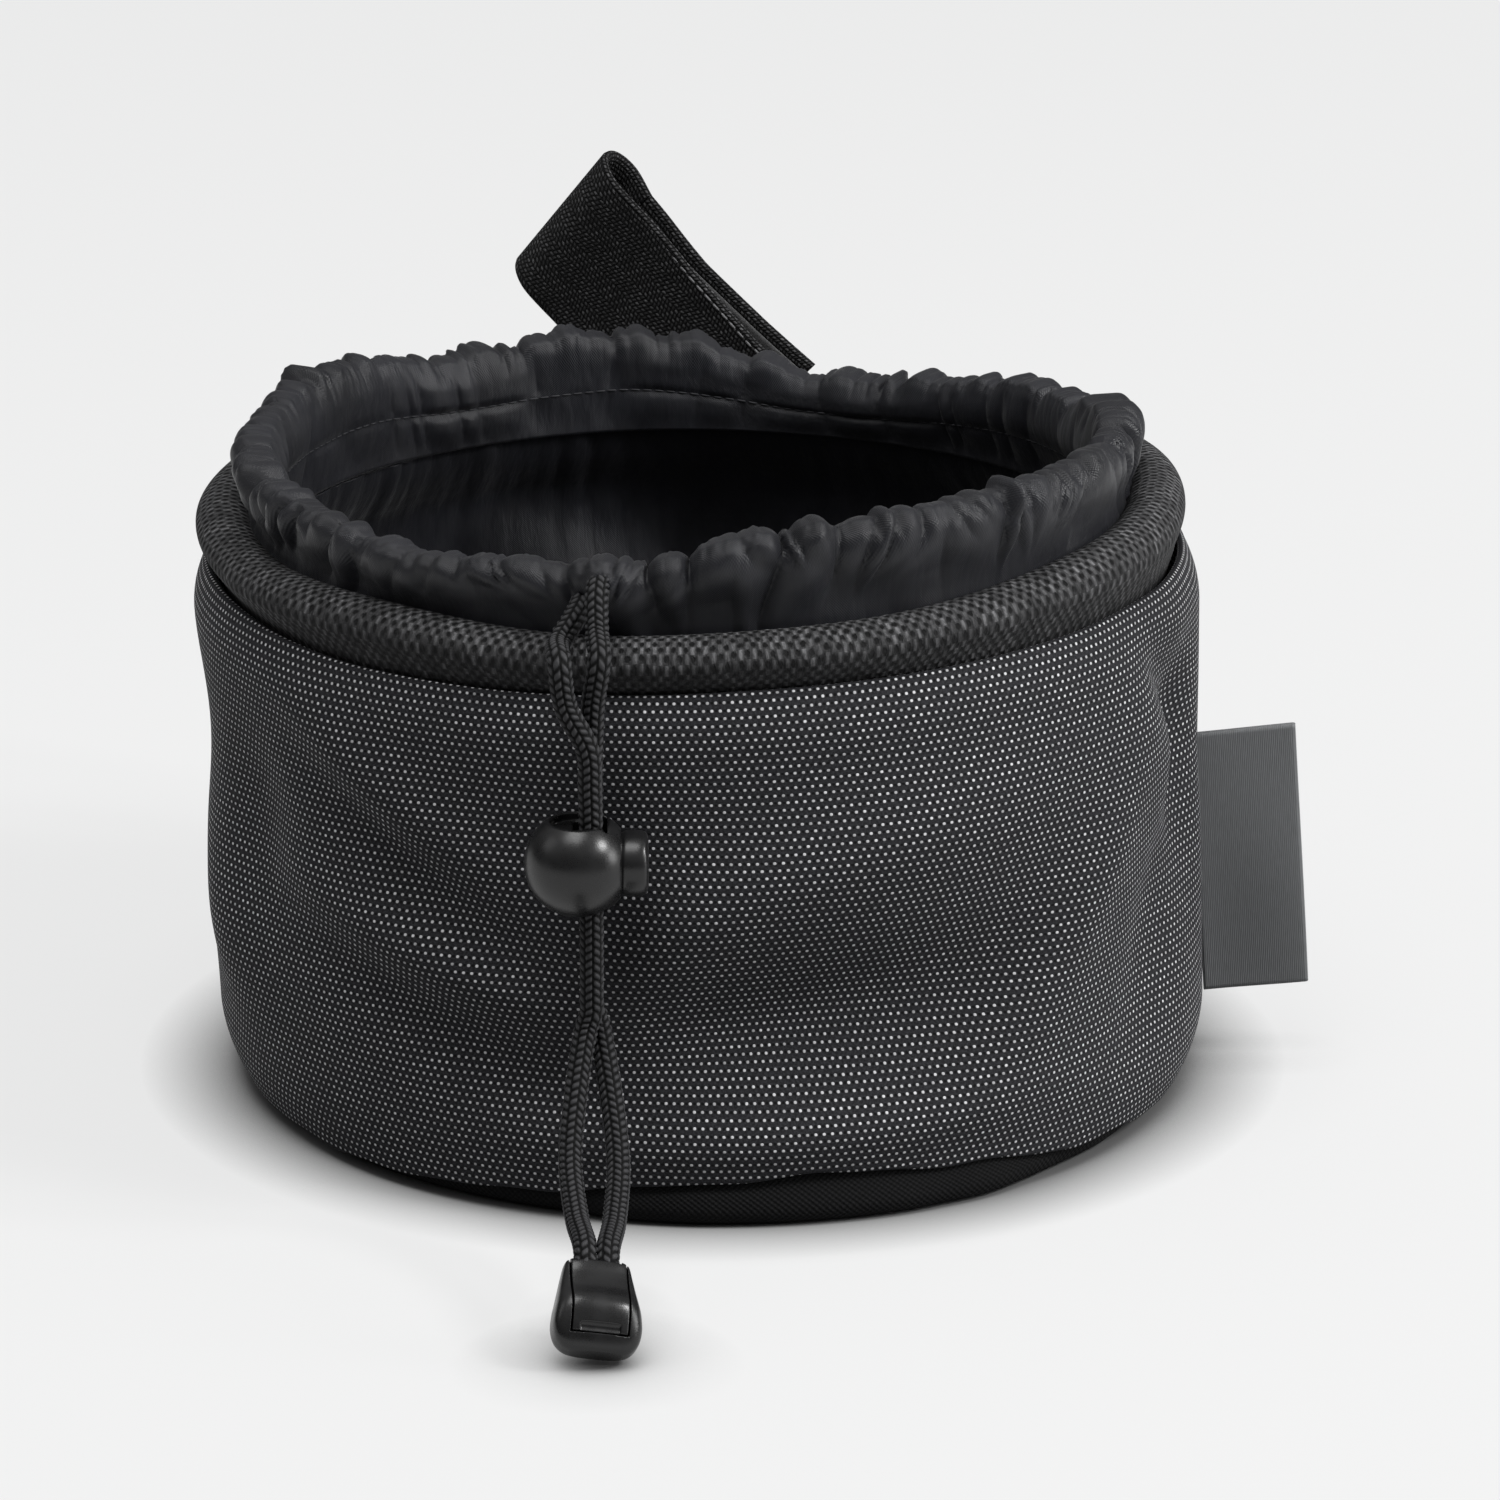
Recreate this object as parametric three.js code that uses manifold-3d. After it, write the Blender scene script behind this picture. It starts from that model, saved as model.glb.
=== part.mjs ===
// Round drawstring peg bag: a drum of dotted fabric with a rolled rim band, a gathered collar,
// a cord with a sprung ball lock and a snap end, a hanging strap and a side tag.
// Millimetres, +Z up. The origin is the centre of the base on the floor, and the front faces -Y.
import * as THREE from "three";
import { mergeVertices } from "three/addons/utils/BufferGeometryUtils.js";
import Module from "manifold-3d";

const wasm = await Module();
wasm.setup();

// Shared fits.
const GAP = 0.3; // between pieces that touch or are sewn together
const RING_STEPS = 48; // facets round the drum, the same for every ring

// Drum.
const WALL_RADIUS = 85; // outer radius at the top hem
const WALL_TAPER = 0.8; // how much narrower the wall is at its lower edge
const WALL_THICK = 1.8;
const WALL_TOP = 88;
const BASE_THICK = 1.5;
const BASE_CORNER = 6; // radius of the turned-up edge of the base
const BOARD_THICK = 2.0;
const LINING_THICK = 0.8;

// Rim band, rolled over a wire hoop.
const BAND_THICK = 2.2;
const BAND_TUCK = 4; // depth of the band behind the wall hem
const BAND_RISE = 14; // how far the band stands above the wall hem
const BAND_LEAN = 3.2; // how far the roll leans in over the mouth
const BAND_RETURN = 10; // length of the band turned down on the inside
const HOOP_WIRE = 2.6;

// Collar with its cord channel.
const COLLAR_THICK = 0.8;
const COLLAR_TUCK = 15; // depth of the collar sewn inside the band
const COLLAR_RISE = 9; // how far the collar stands above the band
const CHANNEL_HEIGHT = 12.5; // hem turned down inside
const CORD_PLAY = 0.5; // room round the cord in its channel

// Cord and its route.
const CORD = 3.2;
const CORD_SIDES = 8;
const EXIT_ANGLE = -13.5; // degrees from the front, towards +X
const EXIT_BEND = 2 * CORD; // least bend of the cord where it leaves the channel
const TAIL_PITCH = CORD + GAP; // spacing of the two tails where they run side by side
const TAIL_DROP_GAP = 5; // clearance of the hanging tails from the wall hem
const TAIL_SAG = 7; // sag of the tails between the lock and the floor
const TAIL_ENTRY = 2; // the tails run straight for this far into the cord end's neck
const TAIL_TURN = 7; // height over which the pair turns for the lock
// The pair between the lock and the cord end: share of the way, its turn in degrees and its pitch.
const TAIL_SPREAD = [
  { share: 0, turn: 65, pitch: 1.25 * TAIL_PITCH },
  { share: 0.2, turn: 35, pitch: 1.8 * TAIL_PITCH },
  { share: 0.45, turn: 10, pitch: 2.2 * TAIL_PITCH },
  { share: 0.75, turn: 0, pitch: 1.7 * TAIL_PITCH },
];

// Cord lock: a ball with a plunger bore along X and a cord slot along Z.
const LOCK_RADIUS = 7.9;
const LOCK_FLAT = 7; // half height between the flats at the cord slot
const LOCK_HEIGHT = 65.4; // height of its centre above the floor
const LOCK_SIDE = -18.4; // cord line through it, from the middle of the bag
const LOCK_SLIDE = 14; // how far it slides up or down the cords
const LOCK_CORD_OFFSET = 2.0; // the cord line lies this far towards the button
const PLUNGER_RADIUS = 4.9;
const PLUNGER_TRAVEL = 2.0;
const PLUNGER_PROUD = 11; // outer face of the button from the ball's centre
const PLUNGER_WEB = 1.1; // wall of the plunger that presses the cord
const PLUNGER_FIT = 0.2;
const BUTTON_ROUND = 1.2; // rounded edge of the button
const SPRING_WIRE = 0.5;
const SPRING_RADIUS = 2.5; // centre line
const SPRING_TURNS = 3.25;
const SPRING_POCKET = 2.5; // depth of the spring seat below the plunger bore

// Cord end: two shells closed on the tails, hinged at the foot.
const END_WIDTH = 13.4;
const END_NECK = 11.2;
const END_LENGTH = 15.4;
const END_FOOT = 1.6; // full-thickness foot below the cover
const END_BACK = 3.9;
const END_FRONT = 3.3;
const END_TOP = new THREE.Vector3(-17.2, -134, 13.4);
const END_PITCH = 43; // degrees that the end points below the horizontal
const END_ROLL = 14; // degrees that its right side lies lower
const END_GRIP = 8; // length of tail inside the shells
const END_EDGE = 0.8; // rounded edge of the shells
const END_CHEEK = 1.9; // side walls of the rear shell that the cover lies between

// Hanging strap of webbing, closed on itself behind the bag.
const STRAP_WIDTH = 28;
const STRAP_THICK = 1.6;
const STRAP_ANGLE = 21; // degrees from the back, towards +X
const STRAP_LEAN = 44; // degrees that the legs run below the horizontal
const STRAP_FOLD_SIDE = -63.2; // fold centre along the tangent
const STRAP_FOLD_TOP = 126; // fold centre above the floor
const STRAP_HINGE = 66; // from the fold to the sewn root
const STRAP_ROOT = 26; // sewn length
const STRAP_FLAP = 52.5; // from the fold to the cut end
const STRAP_LOOP = 5; // mid radius of the fold
const FLAP_START = 14;
const TAPE_THICK = 1.1; // hook and loop patches
const TAPE_INSET = 2;
const TAPE_START = 24;
const HOOK_LENGTH = 36;
const LOOP_LENGTH = 26;

// Side tag, folded and sewn into the right seam.
const TAG_WIDTH = 16.5;
const TAG_HEIGHT = 46;
const TAG_LOW = 12.5;
const TAG_LEAF = 0.45;
const TAG_SLOPE = 1.5; // degrees that its lower end stands out

const rad = THREE.MathUtils.degToRad;

// Levels and radii that follow from the sizes above.
const wallLow = BASE_CORNER + GAP;
const wallLowRadius = WALL_RADIUS - WALL_TAPER;
const baseRadius = wallLowRadius;
const boardLow = BASE_THICK + GAP;
const liningLow = boardLow + BOARD_THICK + GAP;
const boardRadius = baseRadius - BASE_CORNER - GAP;
const liningRadius = wallLowRadius - WALL_THICK - GAP;
const bandRadius = WALL_RADIUS - WALL_THICK - GAP;
const bandLow = WALL_TOP - BAND_TUCK;
const bandTop = WALL_TOP + BAND_RISE;
const hoopRadius = bandRadius - BAND_THICK - GAP - HOOP_WIRE / 2 - BAND_LEAN / 2;
const hoopHeight = bandTop - BAND_THICK - GAP - HOOP_WIRE / 2;
const bandInner = hoopRadius - HOOP_WIRE / 2 - GAP - BAND_THICK;
const collarRadius = bandInner - GAP;
const collarTop = bandTop + COLLAR_RISE;
const cordHeight = collarTop - COLLAR_THICK - CORD_PLAY - CORD / 2;
const cordRadius = collarRadius - COLLAR_THICK / 2;

const COLOURS = {
  dotted_fabric: 0x3a3a3c,
  plain_fabric: 0x1f1f21,
  lining_fabric: 0x29292c,
  woven_tape: 0x4b4b4e,
  cord_braid: 0x1c1c1e,
  black_plastic: 0x18181a,
  spring_steel: 0xb4b7ba,
  tag_fabric: 0x505254,
  hook_and_loop: 0x151517,
  base_board: 0x6b6b6b,
};
const materials = Object.fromEntries(
  Object.entries(COLOURS).map(([name, color]) => [
    name,
    new THREE.MeshStandardMaterial({ name, color, roughness: 0.8 }),
  ]),
);

const part = new THREE.Group();
part.name = "peg_bag";

function add(name, geometry, material) {
  const mesh = new THREE.Mesh(geometry, materials[material]);
  mesh.name = name;
  part.add(mesh);
  return mesh;
}

// Bare, welded copy of a geometry: positions and an index only.
function welded(geometry) {
  const bare = geometry.clone();
  for (const name of ["normal", "uv"]) bare.deleteAttribute(name);
  return mergeVertices(bare, 1e-4);
}

function toSolid(geometry) {
  const bare = welded(geometry);
  return new wasm.Manifold(
    new wasm.Mesh({
      numProp: 3,
      vertProperties: new Float32Array(bare.attributes.position.array),
      triVerts: new Uint32Array(bare.index.array),
    }),
  );
}

function toGeometry(solid) {
  const mesh = solid.getMesh();
  const geometry = new THREE.BufferGeometry();
  geometry.setAttribute("position", new THREE.BufferAttribute(mesh.vertProperties, 3));
  geometry.setIndex(new THREE.BufferAttribute(mesh.triVerts, 1));
  return geometry;
}

function cut(geometry, ...tools) {
  return toGeometry(tools.reduce((left, tool) => left.subtract(toSolid(tool)), toSolid(geometry)));
}

function box(x0, x1, y0, y1, z0, z1) {
  return new THREE.BoxGeometry(x1 - x0, y1 - y0, z1 - z0).translate(
    (x0 + x1) / 2,
    (y0 + y1) / 2,
    (z0 + z1) / 2,
  );
}

// Round bar along X from x0 to x1.
function bar(radius, x0, x1, sides = 24) {
  return new THREE.CylinderGeometry(radius, radius, x1 - x0, sides)
    .rotateZ(Math.PI / 2)
    .translate((x0 + x1) / 2, 0, 0);
}

// Solid of revolution about Z from a counter-clockwise outline of [radius, height] pairs.
// A point on the axis becomes one vertex, so discs close as well as rings.
function spin(outline) {
  const rings = outline.map(([r]) => (r > 0 ? RING_STEPS : 1));
  const starts = rings.map((_, i) => rings.slice(0, i).reduce((a, b) => a + b, 0));
  const positions = [];
  outline.forEach(([r, z], j) => {
    for (let i = 0; i < rings[j]; i++) {
      const turn = (2 * Math.PI * i) / RING_STEPS;
      positions.push(r * Math.sin(turn), -r * Math.cos(turn), z);
    }
  });
  const index = [];
  outline.forEach((_, j) => {
    const k = (j + 1) % outline.length;
    const at = (ring, i) => starts[ring] + (i % rings[ring]);
    if (rings[j] === 1 && rings[k] === 1) return;
    for (let i = 0; i < RING_STEPS; i++) {
      if (rings[j] > 1) index.push(at(j, i), at(j, i + 1), at(k, i));
      if (rings[k] > 1) index.push(at(k, i), at(j, i + 1), at(k, i + 1));
    }
  });
  const geometry = new THREE.BufferGeometry();
  geometry.setAttribute("position", new THREE.Float32BufferAttribute(positions, 3));
  geometry.setIndex(index);
  return geometry;
}

// Points on an arc in the outline plane, from one angle to another in degrees.
function arc(r, z, radius, from, to, steps) {
  return Array.from({ length: steps + 1 }, (_, i) => {
    const turn = rad(from + ((to - from) * i) / steps);
    return [r + radius * Math.cos(turn), z + radius * Math.sin(turn)];
  });
}

// Outline of a strip of even thickness along a centre line of [a, b] points.
function strip(line, thick) {
  const side = (sign) =>
    line.map(([a, b], i) => {
      const [a0, b0] = line[Math.max(i - 1, 0)];
      const [a1, b1] = line[Math.min(i + 1, line.length - 1)];
      const span = Math.hypot(a1 - a0, b1 - b0);
      const half = (sign * thick) / 2;
      return [a + (half * (b1 - b0)) / span, b - (half * (a1 - a0)) / span];
    });
  return [...side(1), ...side(-1).reverse()];
}

// Smooth line through [a, b] points.
function smooth(points, steps) {
  const curve = new THREE.CatmullRomCurve3(points.map(([a, b]) => new THREE.Vector3(a, b, 0)));
  return curve.getPoints(steps).map((p) => [p.x, p.y]);
}

// Tube of the given size along a line of points.
function tube(points, size, steps, sides = CORD_SIDES) {
  const section = new THREE.Shape(
    Array.from({ length: sides }, (_, i) => {
      const turn = (2 * Math.PI * i) / sides;
      return new THREE.Vector2((size / 2) * Math.cos(turn), (size / 2) * Math.sin(turn));
    }),
  );
  const path = new THREE.CatmullRomCurve3(points, false, "centripetal");
  return welded(new THREE.ExtrudeGeometry(section, { steps, extrudePath: path }));
}

// Point at an angle from the front, in degrees towards +X.
function around(radius, angle, z) {
  return new THREE.Vector3(radius * Math.sin(rad(angle)), -radius * Math.cos(rad(angle)), z);
}

// Drum: base dish, board, linings and wall, from the floor up.
function buildDrum() {
  const inner = BASE_CORNER - BASE_THICK;
  const corner = baseRadius - BASE_CORNER;
  add(
    "base_panel",
    spin([
      [0, 0],
      ...arc(corner, BASE_CORNER, BASE_CORNER, -90, 0, 5),
      ...arc(corner, BASE_CORNER, inner, 0, -90, 5),
      [0, BASE_THICK],
    ]),
    "plain_fabric",
  );
  const boardTop = boardLow + BOARD_THICK;
  add(
    "base_stiffener",
    spin([
      [0, boardLow],
      [boardRadius, boardLow],
      [boardRadius, boardTop],
      [0, boardTop],
    ]),
    "base_board",
  );
  const baseLiningRadius = corner;
  add(
    "base_lining",
    spin([
      [0, liningLow],
      [baseLiningRadius, liningLow],
      [baseLiningRadius, liningLow + LINING_THICK],
      [0, liningLow + LINING_THICK],
    ]),
    "lining_fabric",
  );
  add(
    "outer_wall",
    spin([
      [wallLowRadius - WALL_THICK, wallLow],
      [wallLowRadius, wallLow],
      [(WALL_RADIUS + wallLowRadius) / 2, (wallLow + WALL_TOP) / 2],
      [WALL_RADIUS, WALL_TOP - WALL_THICK],
      [WALL_RADIUS - WALL_THICK / 2, WALL_TOP],
      [WALL_RADIUS - WALL_THICK, WALL_TOP - WALL_THICK / 2],
      [(WALL_RADIUS + wallLowRadius) / 2 - WALL_THICK, (wallLow + WALL_TOP) / 2],
    ]),
    "dotted_fabric",
  );
  const liningFoot = liningLow + LINING_THICK + GAP;
  add(
    "wall_lining",
    spin([
      [liningRadius - LINING_THICK - BASE_THICK, liningFoot],
      [liningRadius - BASE_THICK, liningFoot],
      [liningRadius, wallLow + BASE_CORNER],
      [liningRadius, bandLow - GAP],
      [liningRadius - LINING_THICK, bandLow - GAP],
      [liningRadius - LINING_THICK, wallLow + BASE_CORNER],
    ]),
    "lining_fabric",
  );
}

// Rim band: rises behind the wall hem, rolls over the hoop and turns down on the inside.
function buildRim() {
  const roll = HOOP_WIRE / 2 + GAP + BAND_THICK / 2;
  const line = smooth(
    [
      [bandRadius - BAND_THICK / 2, bandLow],
      [bandRadius - BAND_THICK / 2, WALL_TOP],
      [bandRadius - BAND_THICK / 2 - BAND_LEAN * 0.12, hoopHeight - 2 * HOOP_WIRE],
      ...arc(hoopRadius, hoopHeight, roll, 15, 165, 5),
      [hoopRadius - roll, hoopHeight - HOOP_WIRE],
      [hoopRadius - roll, hoopHeight - BAND_RETURN],
    ],
    13,
  );
  add("rim_band", spin(strip(line, BAND_THICK)), "woven_tape");
  const wire = arc(hoopRadius, hoopHeight, HOOP_WIRE / 2, 0, 360, 8).slice(0, -1);
  add("rim_hoop", spin(wire), "spring_steel");
}

// Collar: sewn inside the band, its top turned over the cord and down to the channel seam.
// A slot in the outer layer lets the two tails out at the front.
function buildCollar() {
  const mid = collarRadius - COLLAR_THICK / 2;
  const room = CORD / 2 + CORD_PLAY + COLLAR_THICK / 2;
  const line = smooth(
    [
      [mid, bandTop - COLLAR_TUCK],
      [mid, bandTop - COLLAR_TUCK / 3],
      [mid + room * 0.35, bandTop + GAP],
      ...arc(cordRadius, cordHeight, room, 0, 180, 6),
      [cordRadius - room, cordHeight - CORD],
      [mid - COLLAR_THICK - 2 * GAP, collarTop - CHANNEL_HEIGHT],
    ],
    14,
  );
  const exit = box(
    -EXIT_BEND - CORD / 4,
    EXIT_BEND + CORD / 4,
    -collarRadius - 3 * CORD,
    -cordRadius - CORD / 4,
    cordHeight - CORD / 2 - GAP,
    cordHeight + CORD / 2 + GAP,
  ).rotateZ(rad(EXIT_ANGLE));
  add("drawstring_collar", cut(spin(strip(line, COLLAR_THICK)), exit), "lining_fabric");
}

// Cord: held in the channel all round, then two tails out over the band, through the lock
// one behind the other, and side by side into the cord end.
function buildCord(lock, end) {
  const bendTurn = THREE.MathUtils.radToDeg(EXIT_BEND / cordRadius);
  const halfPitch = THREE.MathUtils.radToDeg(TAIL_PITCH / 2 / cordRadius);
  const held = EXIT_ANGLE + halfPitch + bendTurn;
  const heldEnd = EXIT_ANGLE - halfPitch - bendTurn + 360;
  const loop = Array.from({ length: RING_STEPS + 1 }, (_, i) =>
    around(cordRadius, held + ((heldEnd - held) * i) / RING_STEPS, cordHeight),
  );
  add("drawcord_loop", tube(loop, CORD, RING_STEPS), "cord_braid");

  const gapTurn = THREE.MathUtils.radToDeg(GAP / cordRadius);
  for (const [name, side] of [
    ["drawcord_tail_right", 1],
    ["drawcord_tail_left", -1],
  ]) {
    const from = EXIT_ANGLE + side * (halfPitch + bendTurn - gapTurn);
    const bend = Array.from({ length: 6 }, (_, i) => {
      const turn = (Math.PI / 2) * (i / 5);
      const along = THREE.MathUtils.radToDeg((EXIT_BEND * Math.sin(turn)) / cordRadius);
      return around(cordRadius + EXIT_BEND * (1 - Math.cos(turn)), from - side * along, cordHeight);
    });
    const over = EXIT_ANGLE + side * halfPitch;
    // The pair turns from side by side to one behind the other for the lock, right tail behind.
    const hang = (z, turn, pitch = TAIL_PITCH) => {
      const apart = new THREE.Vector3(Math.cos(rad(turn)), Math.sin(rad(turn)), 0);
      const middle = new THREE.Vector3(lock.x + LOCK_CORD_OFFSET, lock.y, z);
      return middle.addScaledVector(apart, (side * pitch) / 2);
    };
    const high = lock.z + LOCK_FLAT + LOCK_SLIDE + CORD;
    const low = lock.z - LOCK_FLAT - LOCK_SLIDE - 2 * CORD;
    const spread = ({ share, turn, pitch }) => {
      const neck = end.at((side * pitch) / 2, -TAIL_ENTRY);
      const point = hang(low, turn, pitch).lerp(neck, share);
      const sag = Math.sin(Math.PI * share);
      point.z -= TAIL_SAG * sag;
      point.y += (TAIL_SAG / 3) * sag;
      return point;
    };
    const points = [
      ...bend,
      around(WALL_RADIUS - CORD / 2, over, cordHeight - CORD / 2),
      around(WALL_RADIUS + TAIL_DROP_GAP / 2, over, cordHeight - 2 * CORD),
      hang(high + TAIL_TURN, 45, TAIL_PITCH + 2 * GAP),
      ...[high, high - CORD / 2, lock.z, low + 1.5 * CORD, low + CORD].map((z) => hang(z, 90)),
      ...TAIL_SPREAD.map(spread),
      ...[-TAIL_ENTRY, END_GRIP / 2, END_GRIP].map((along) => end.at((side * TAIL_PITCH) / 2, along)),
    ];
    add(name, tube(points, CORD, 48), "cord_braid");
  }
}

// Ball lock: the spring pushes the plunger out along +X, so that its web and the slot of the
// barrel press on the cords. The cords pass through both and keep the plunger in.
function buildLock(at) {
  const slotHalf = CORD / 2 + GAP;
  const slotLow = LOCK_CORD_OFFSET - slotHalf;
  const slotHigh = LOCK_CORD_OFFSET + slotHalf;
  const slotDepth = TAIL_PITCH / 2 + CORD / 2 + 0.8 * GAP;
  const inner = slotLow - PLUNGER_WEB;
  const boreEnd = inner - PLUNGER_TRAVEL - PLUNGER_FIT;
  const pocketEnd = boreEnd - SPRING_POCKET;
  const pocketRadius = SPRING_RADIUS + SPRING_WIRE / 2 + PLUNGER_FIT + GAP;
  const far = 2 * LOCK_RADIUS;
  const place = (geometry) => geometry.translate(at.x, at.y, at.z);

  const barrel = cut(
    new THREE.SphereGeometry(LOCK_RADIUS, 28, 18),
    box(-far, far, -far, far, LOCK_FLAT, far),
    box(-far, far, -far, far, -far, -LOCK_FLAT),
    bar(PLUNGER_RADIUS + PLUNGER_FIT, boreEnd, far),
    bar(pocketRadius, pocketEnd, boreEnd + 1, 20),
    box(slotLow, slotHigh, -slotDepth, slotDepth, -far, far),
  );
  add("cord_lock_barrel", place(barrel), "black_plastic");

  const profile = [
    [0, inner],
    [PLUNGER_RADIUS, inner],
    ...arc(PLUNGER_RADIUS - BUTTON_ROUND, PLUNGER_PROUD - BUTTON_ROUND, BUTTON_ROUND, 0, 90, 4),
    [0, PLUNGER_PROUD],
  ].map(([r, x]) => new THREE.Vector2(r, x));
  const shaft = new THREE.LatheGeometry(profile, 24).rotateZ(-Math.PI / 2);
  const window = box(
    slotLow,
    slotHigh + PLUNGER_TRAVEL,
    -slotDepth,
    slotDepth,
    -far,
    far,
  );
  add("cord_lock_plunger", place(cut(shaft, window)), "black_plastic");

  const low = pocketEnd + PLUNGER_FIT + SPRING_WIRE / 2;
  const high = inner - PLUNGER_FIT - SPRING_WIRE / 2;
  const steps = Math.round(SPRING_TURNS * 12);
  const coil = Array.from({ length: steps + 1 }, (_, i) => {
    const turn = (2 * Math.PI * SPRING_TURNS * i) / steps;
    return new THREE.Vector3(
      low + ((high - low) * i) / steps,
      SPRING_RADIUS * Math.cos(turn),
      SPRING_RADIUS * Math.sin(turn),
    );
  });
  let least = Infinity;
  coil.forEach((p, i) =>
    coil.slice(i + 9).forEach((q) => {
      least = Math.min(least, p.distanceTo(q) - SPRING_WIRE);
    }),
  );
  console.log("least gap of the spring to itself: " + least.toFixed(2) + " mm");
  add("cord_lock_spring", place(tube(coil, SPRING_WIRE, steps, 6)), "spring_steel");
}

// Frame of the cord end: width across, length from the neck to the foot, depth to the back.
function endFrame() {
  const down = new THREE.Vector3(0, -Math.cos(rad(END_PITCH)), -Math.sin(rad(END_PITCH)));
  const wide = new THREE.Vector3(1, 0, 0).applyAxisAngle(down, -rad(END_ROLL));
  const back = new THREE.Vector3().crossVectors(wide, down);
  const matrix = new THREE.Matrix4().makeBasis(wide, down, back).setPosition(END_TOP);
  const at = (across, along, depth = 0) =>
    new THREE.Vector3(across, along, depth).applyMatrix4(matrix);
  return { matrix, at };
}

// Cord end: a rear shell with cheeks and a full foot, and a cover between the cheeks that
// hinges open at that foot.
function buildEnd(end) {
  const edge = END_EDGE;
  const halfNeck = END_NECK / 2 - edge;
  const half = END_WIDTH / 2 - edge;
  const bell = (thick) => {
    const shape = new THREE.Shape();
    shape.moveTo(-halfNeck, edge);
    shape.lineTo(halfNeck, edge);
    shape.bezierCurveTo(half, edge, half, END_LENGTH * 0.3, half, END_LENGTH * 0.5);
    const foot = new THREE.Vector2(half * 0.8, END_LENGTH - edge);
    shape.bezierCurveTo(half, END_LENGTH * 0.8, half, foot.y, foot.x, foot.y);
    shape.lineTo(-foot.x, foot.y);
    shape.bezierCurveTo(-half, foot.y, -half, END_LENGTH * 0.8, -half, END_LENGTH * 0.5);
    shape.bezierCurveTo(-half, END_LENGTH * 0.3, -half, edge, -halfNeck, edge);
    return new THREE.ExtrudeGeometry(shape, {
      depth: thick - 2 * edge,
      steps: 1,
      curveSegments: 5,
      bevelThickness: edge,
      bevelSize: edge,
      bevelSegments: 2,
    }).translate(0, 0, edge);
  };
  const wide = END_WIDTH;
  const groove = TAIL_PITCH / 2 + CORD / 2 + GAP;
  const footStart = END_LENGTH - END_FOOT;
  const whole = bell(END_BACK + END_FRONT).translate(0, 0, -END_FRONT);
  const channel = box(-groove, groove, -wide, END_GRIP + 2 * GAP, -CORD / 2 - GAP, CORD / 2 + GAP);
  const inside = END_WIDTH / 2 - END_CHEEK;
  const coverSpace = box(-inside, inside, -wide, footStart, -wide, 0);
  const base = cut(whole, coverSpace, channel);
  const coverGap = box(-wide, wide, -wide, 2 * wide, -GAP, wide);
  const footGap = box(-wide, wide, footStart - GAP, 2 * wide, -wide, wide);
  const cheekGaps = [-1, 1].map((side) => {
    const middle = side * (inside - GAP + wide / 2);
    return box(middle - wide / 2, middle + wide / 2, -wide, 2 * wide, -wide, wide);
  });
  const cover = cut(whole, coverGap, footGap, ...cheekGaps, channel);
  add("cord_end_base", base.applyMatrix4(end.matrix), "black_plastic");
  add("cord_end_cover", cover.applyMatrix4(end.matrix), "black_plastic");
}

// Strap frame: the legs run along it from the fold, the depth points away from the bag.
function strapFrame() {
  const out = new THREE.Vector3(Math.sin(rad(STRAP_ANGLE)), Math.cos(rad(STRAP_ANGLE)), 0);
  const tangent = new THREE.Vector3(out.y, -out.x, 0);
  const up = new THREE.Vector3(0, 0, 1);
  const along = tangent
    .clone()
    .multiplyScalar(Math.cos(rad(STRAP_LEAN)))
    .addScaledVector(up, -Math.sin(rad(STRAP_LEAN)));
  const across = new THREE.Vector3().crossVectors(along, out);
  const fold = out
    .clone()
    .multiplyScalar(WALL_RADIUS)
    .addScaledVector(tangent, STRAP_FOLD_SIDE)
    .addScaledVector(up, STRAP_FOLD_TOP);
  return new THREE.Matrix4().makeBasis(along, out, across).setPosition(fold);
}

// Strip of the given width, drawn in the strap's length and depth and set in its frame.
function webbing(outline, width) {
  const shape = new THREE.Shape(outline.map(([a, b]) => new THREE.Vector2(a, b)));
  return new THREE.ExtrudeGeometry(shape, { depth: width, steps: 1, bevelEnabled: false })
    .translate(0, 0, -width / 2)
    .applyMatrix4(strapFrame());
}

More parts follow.
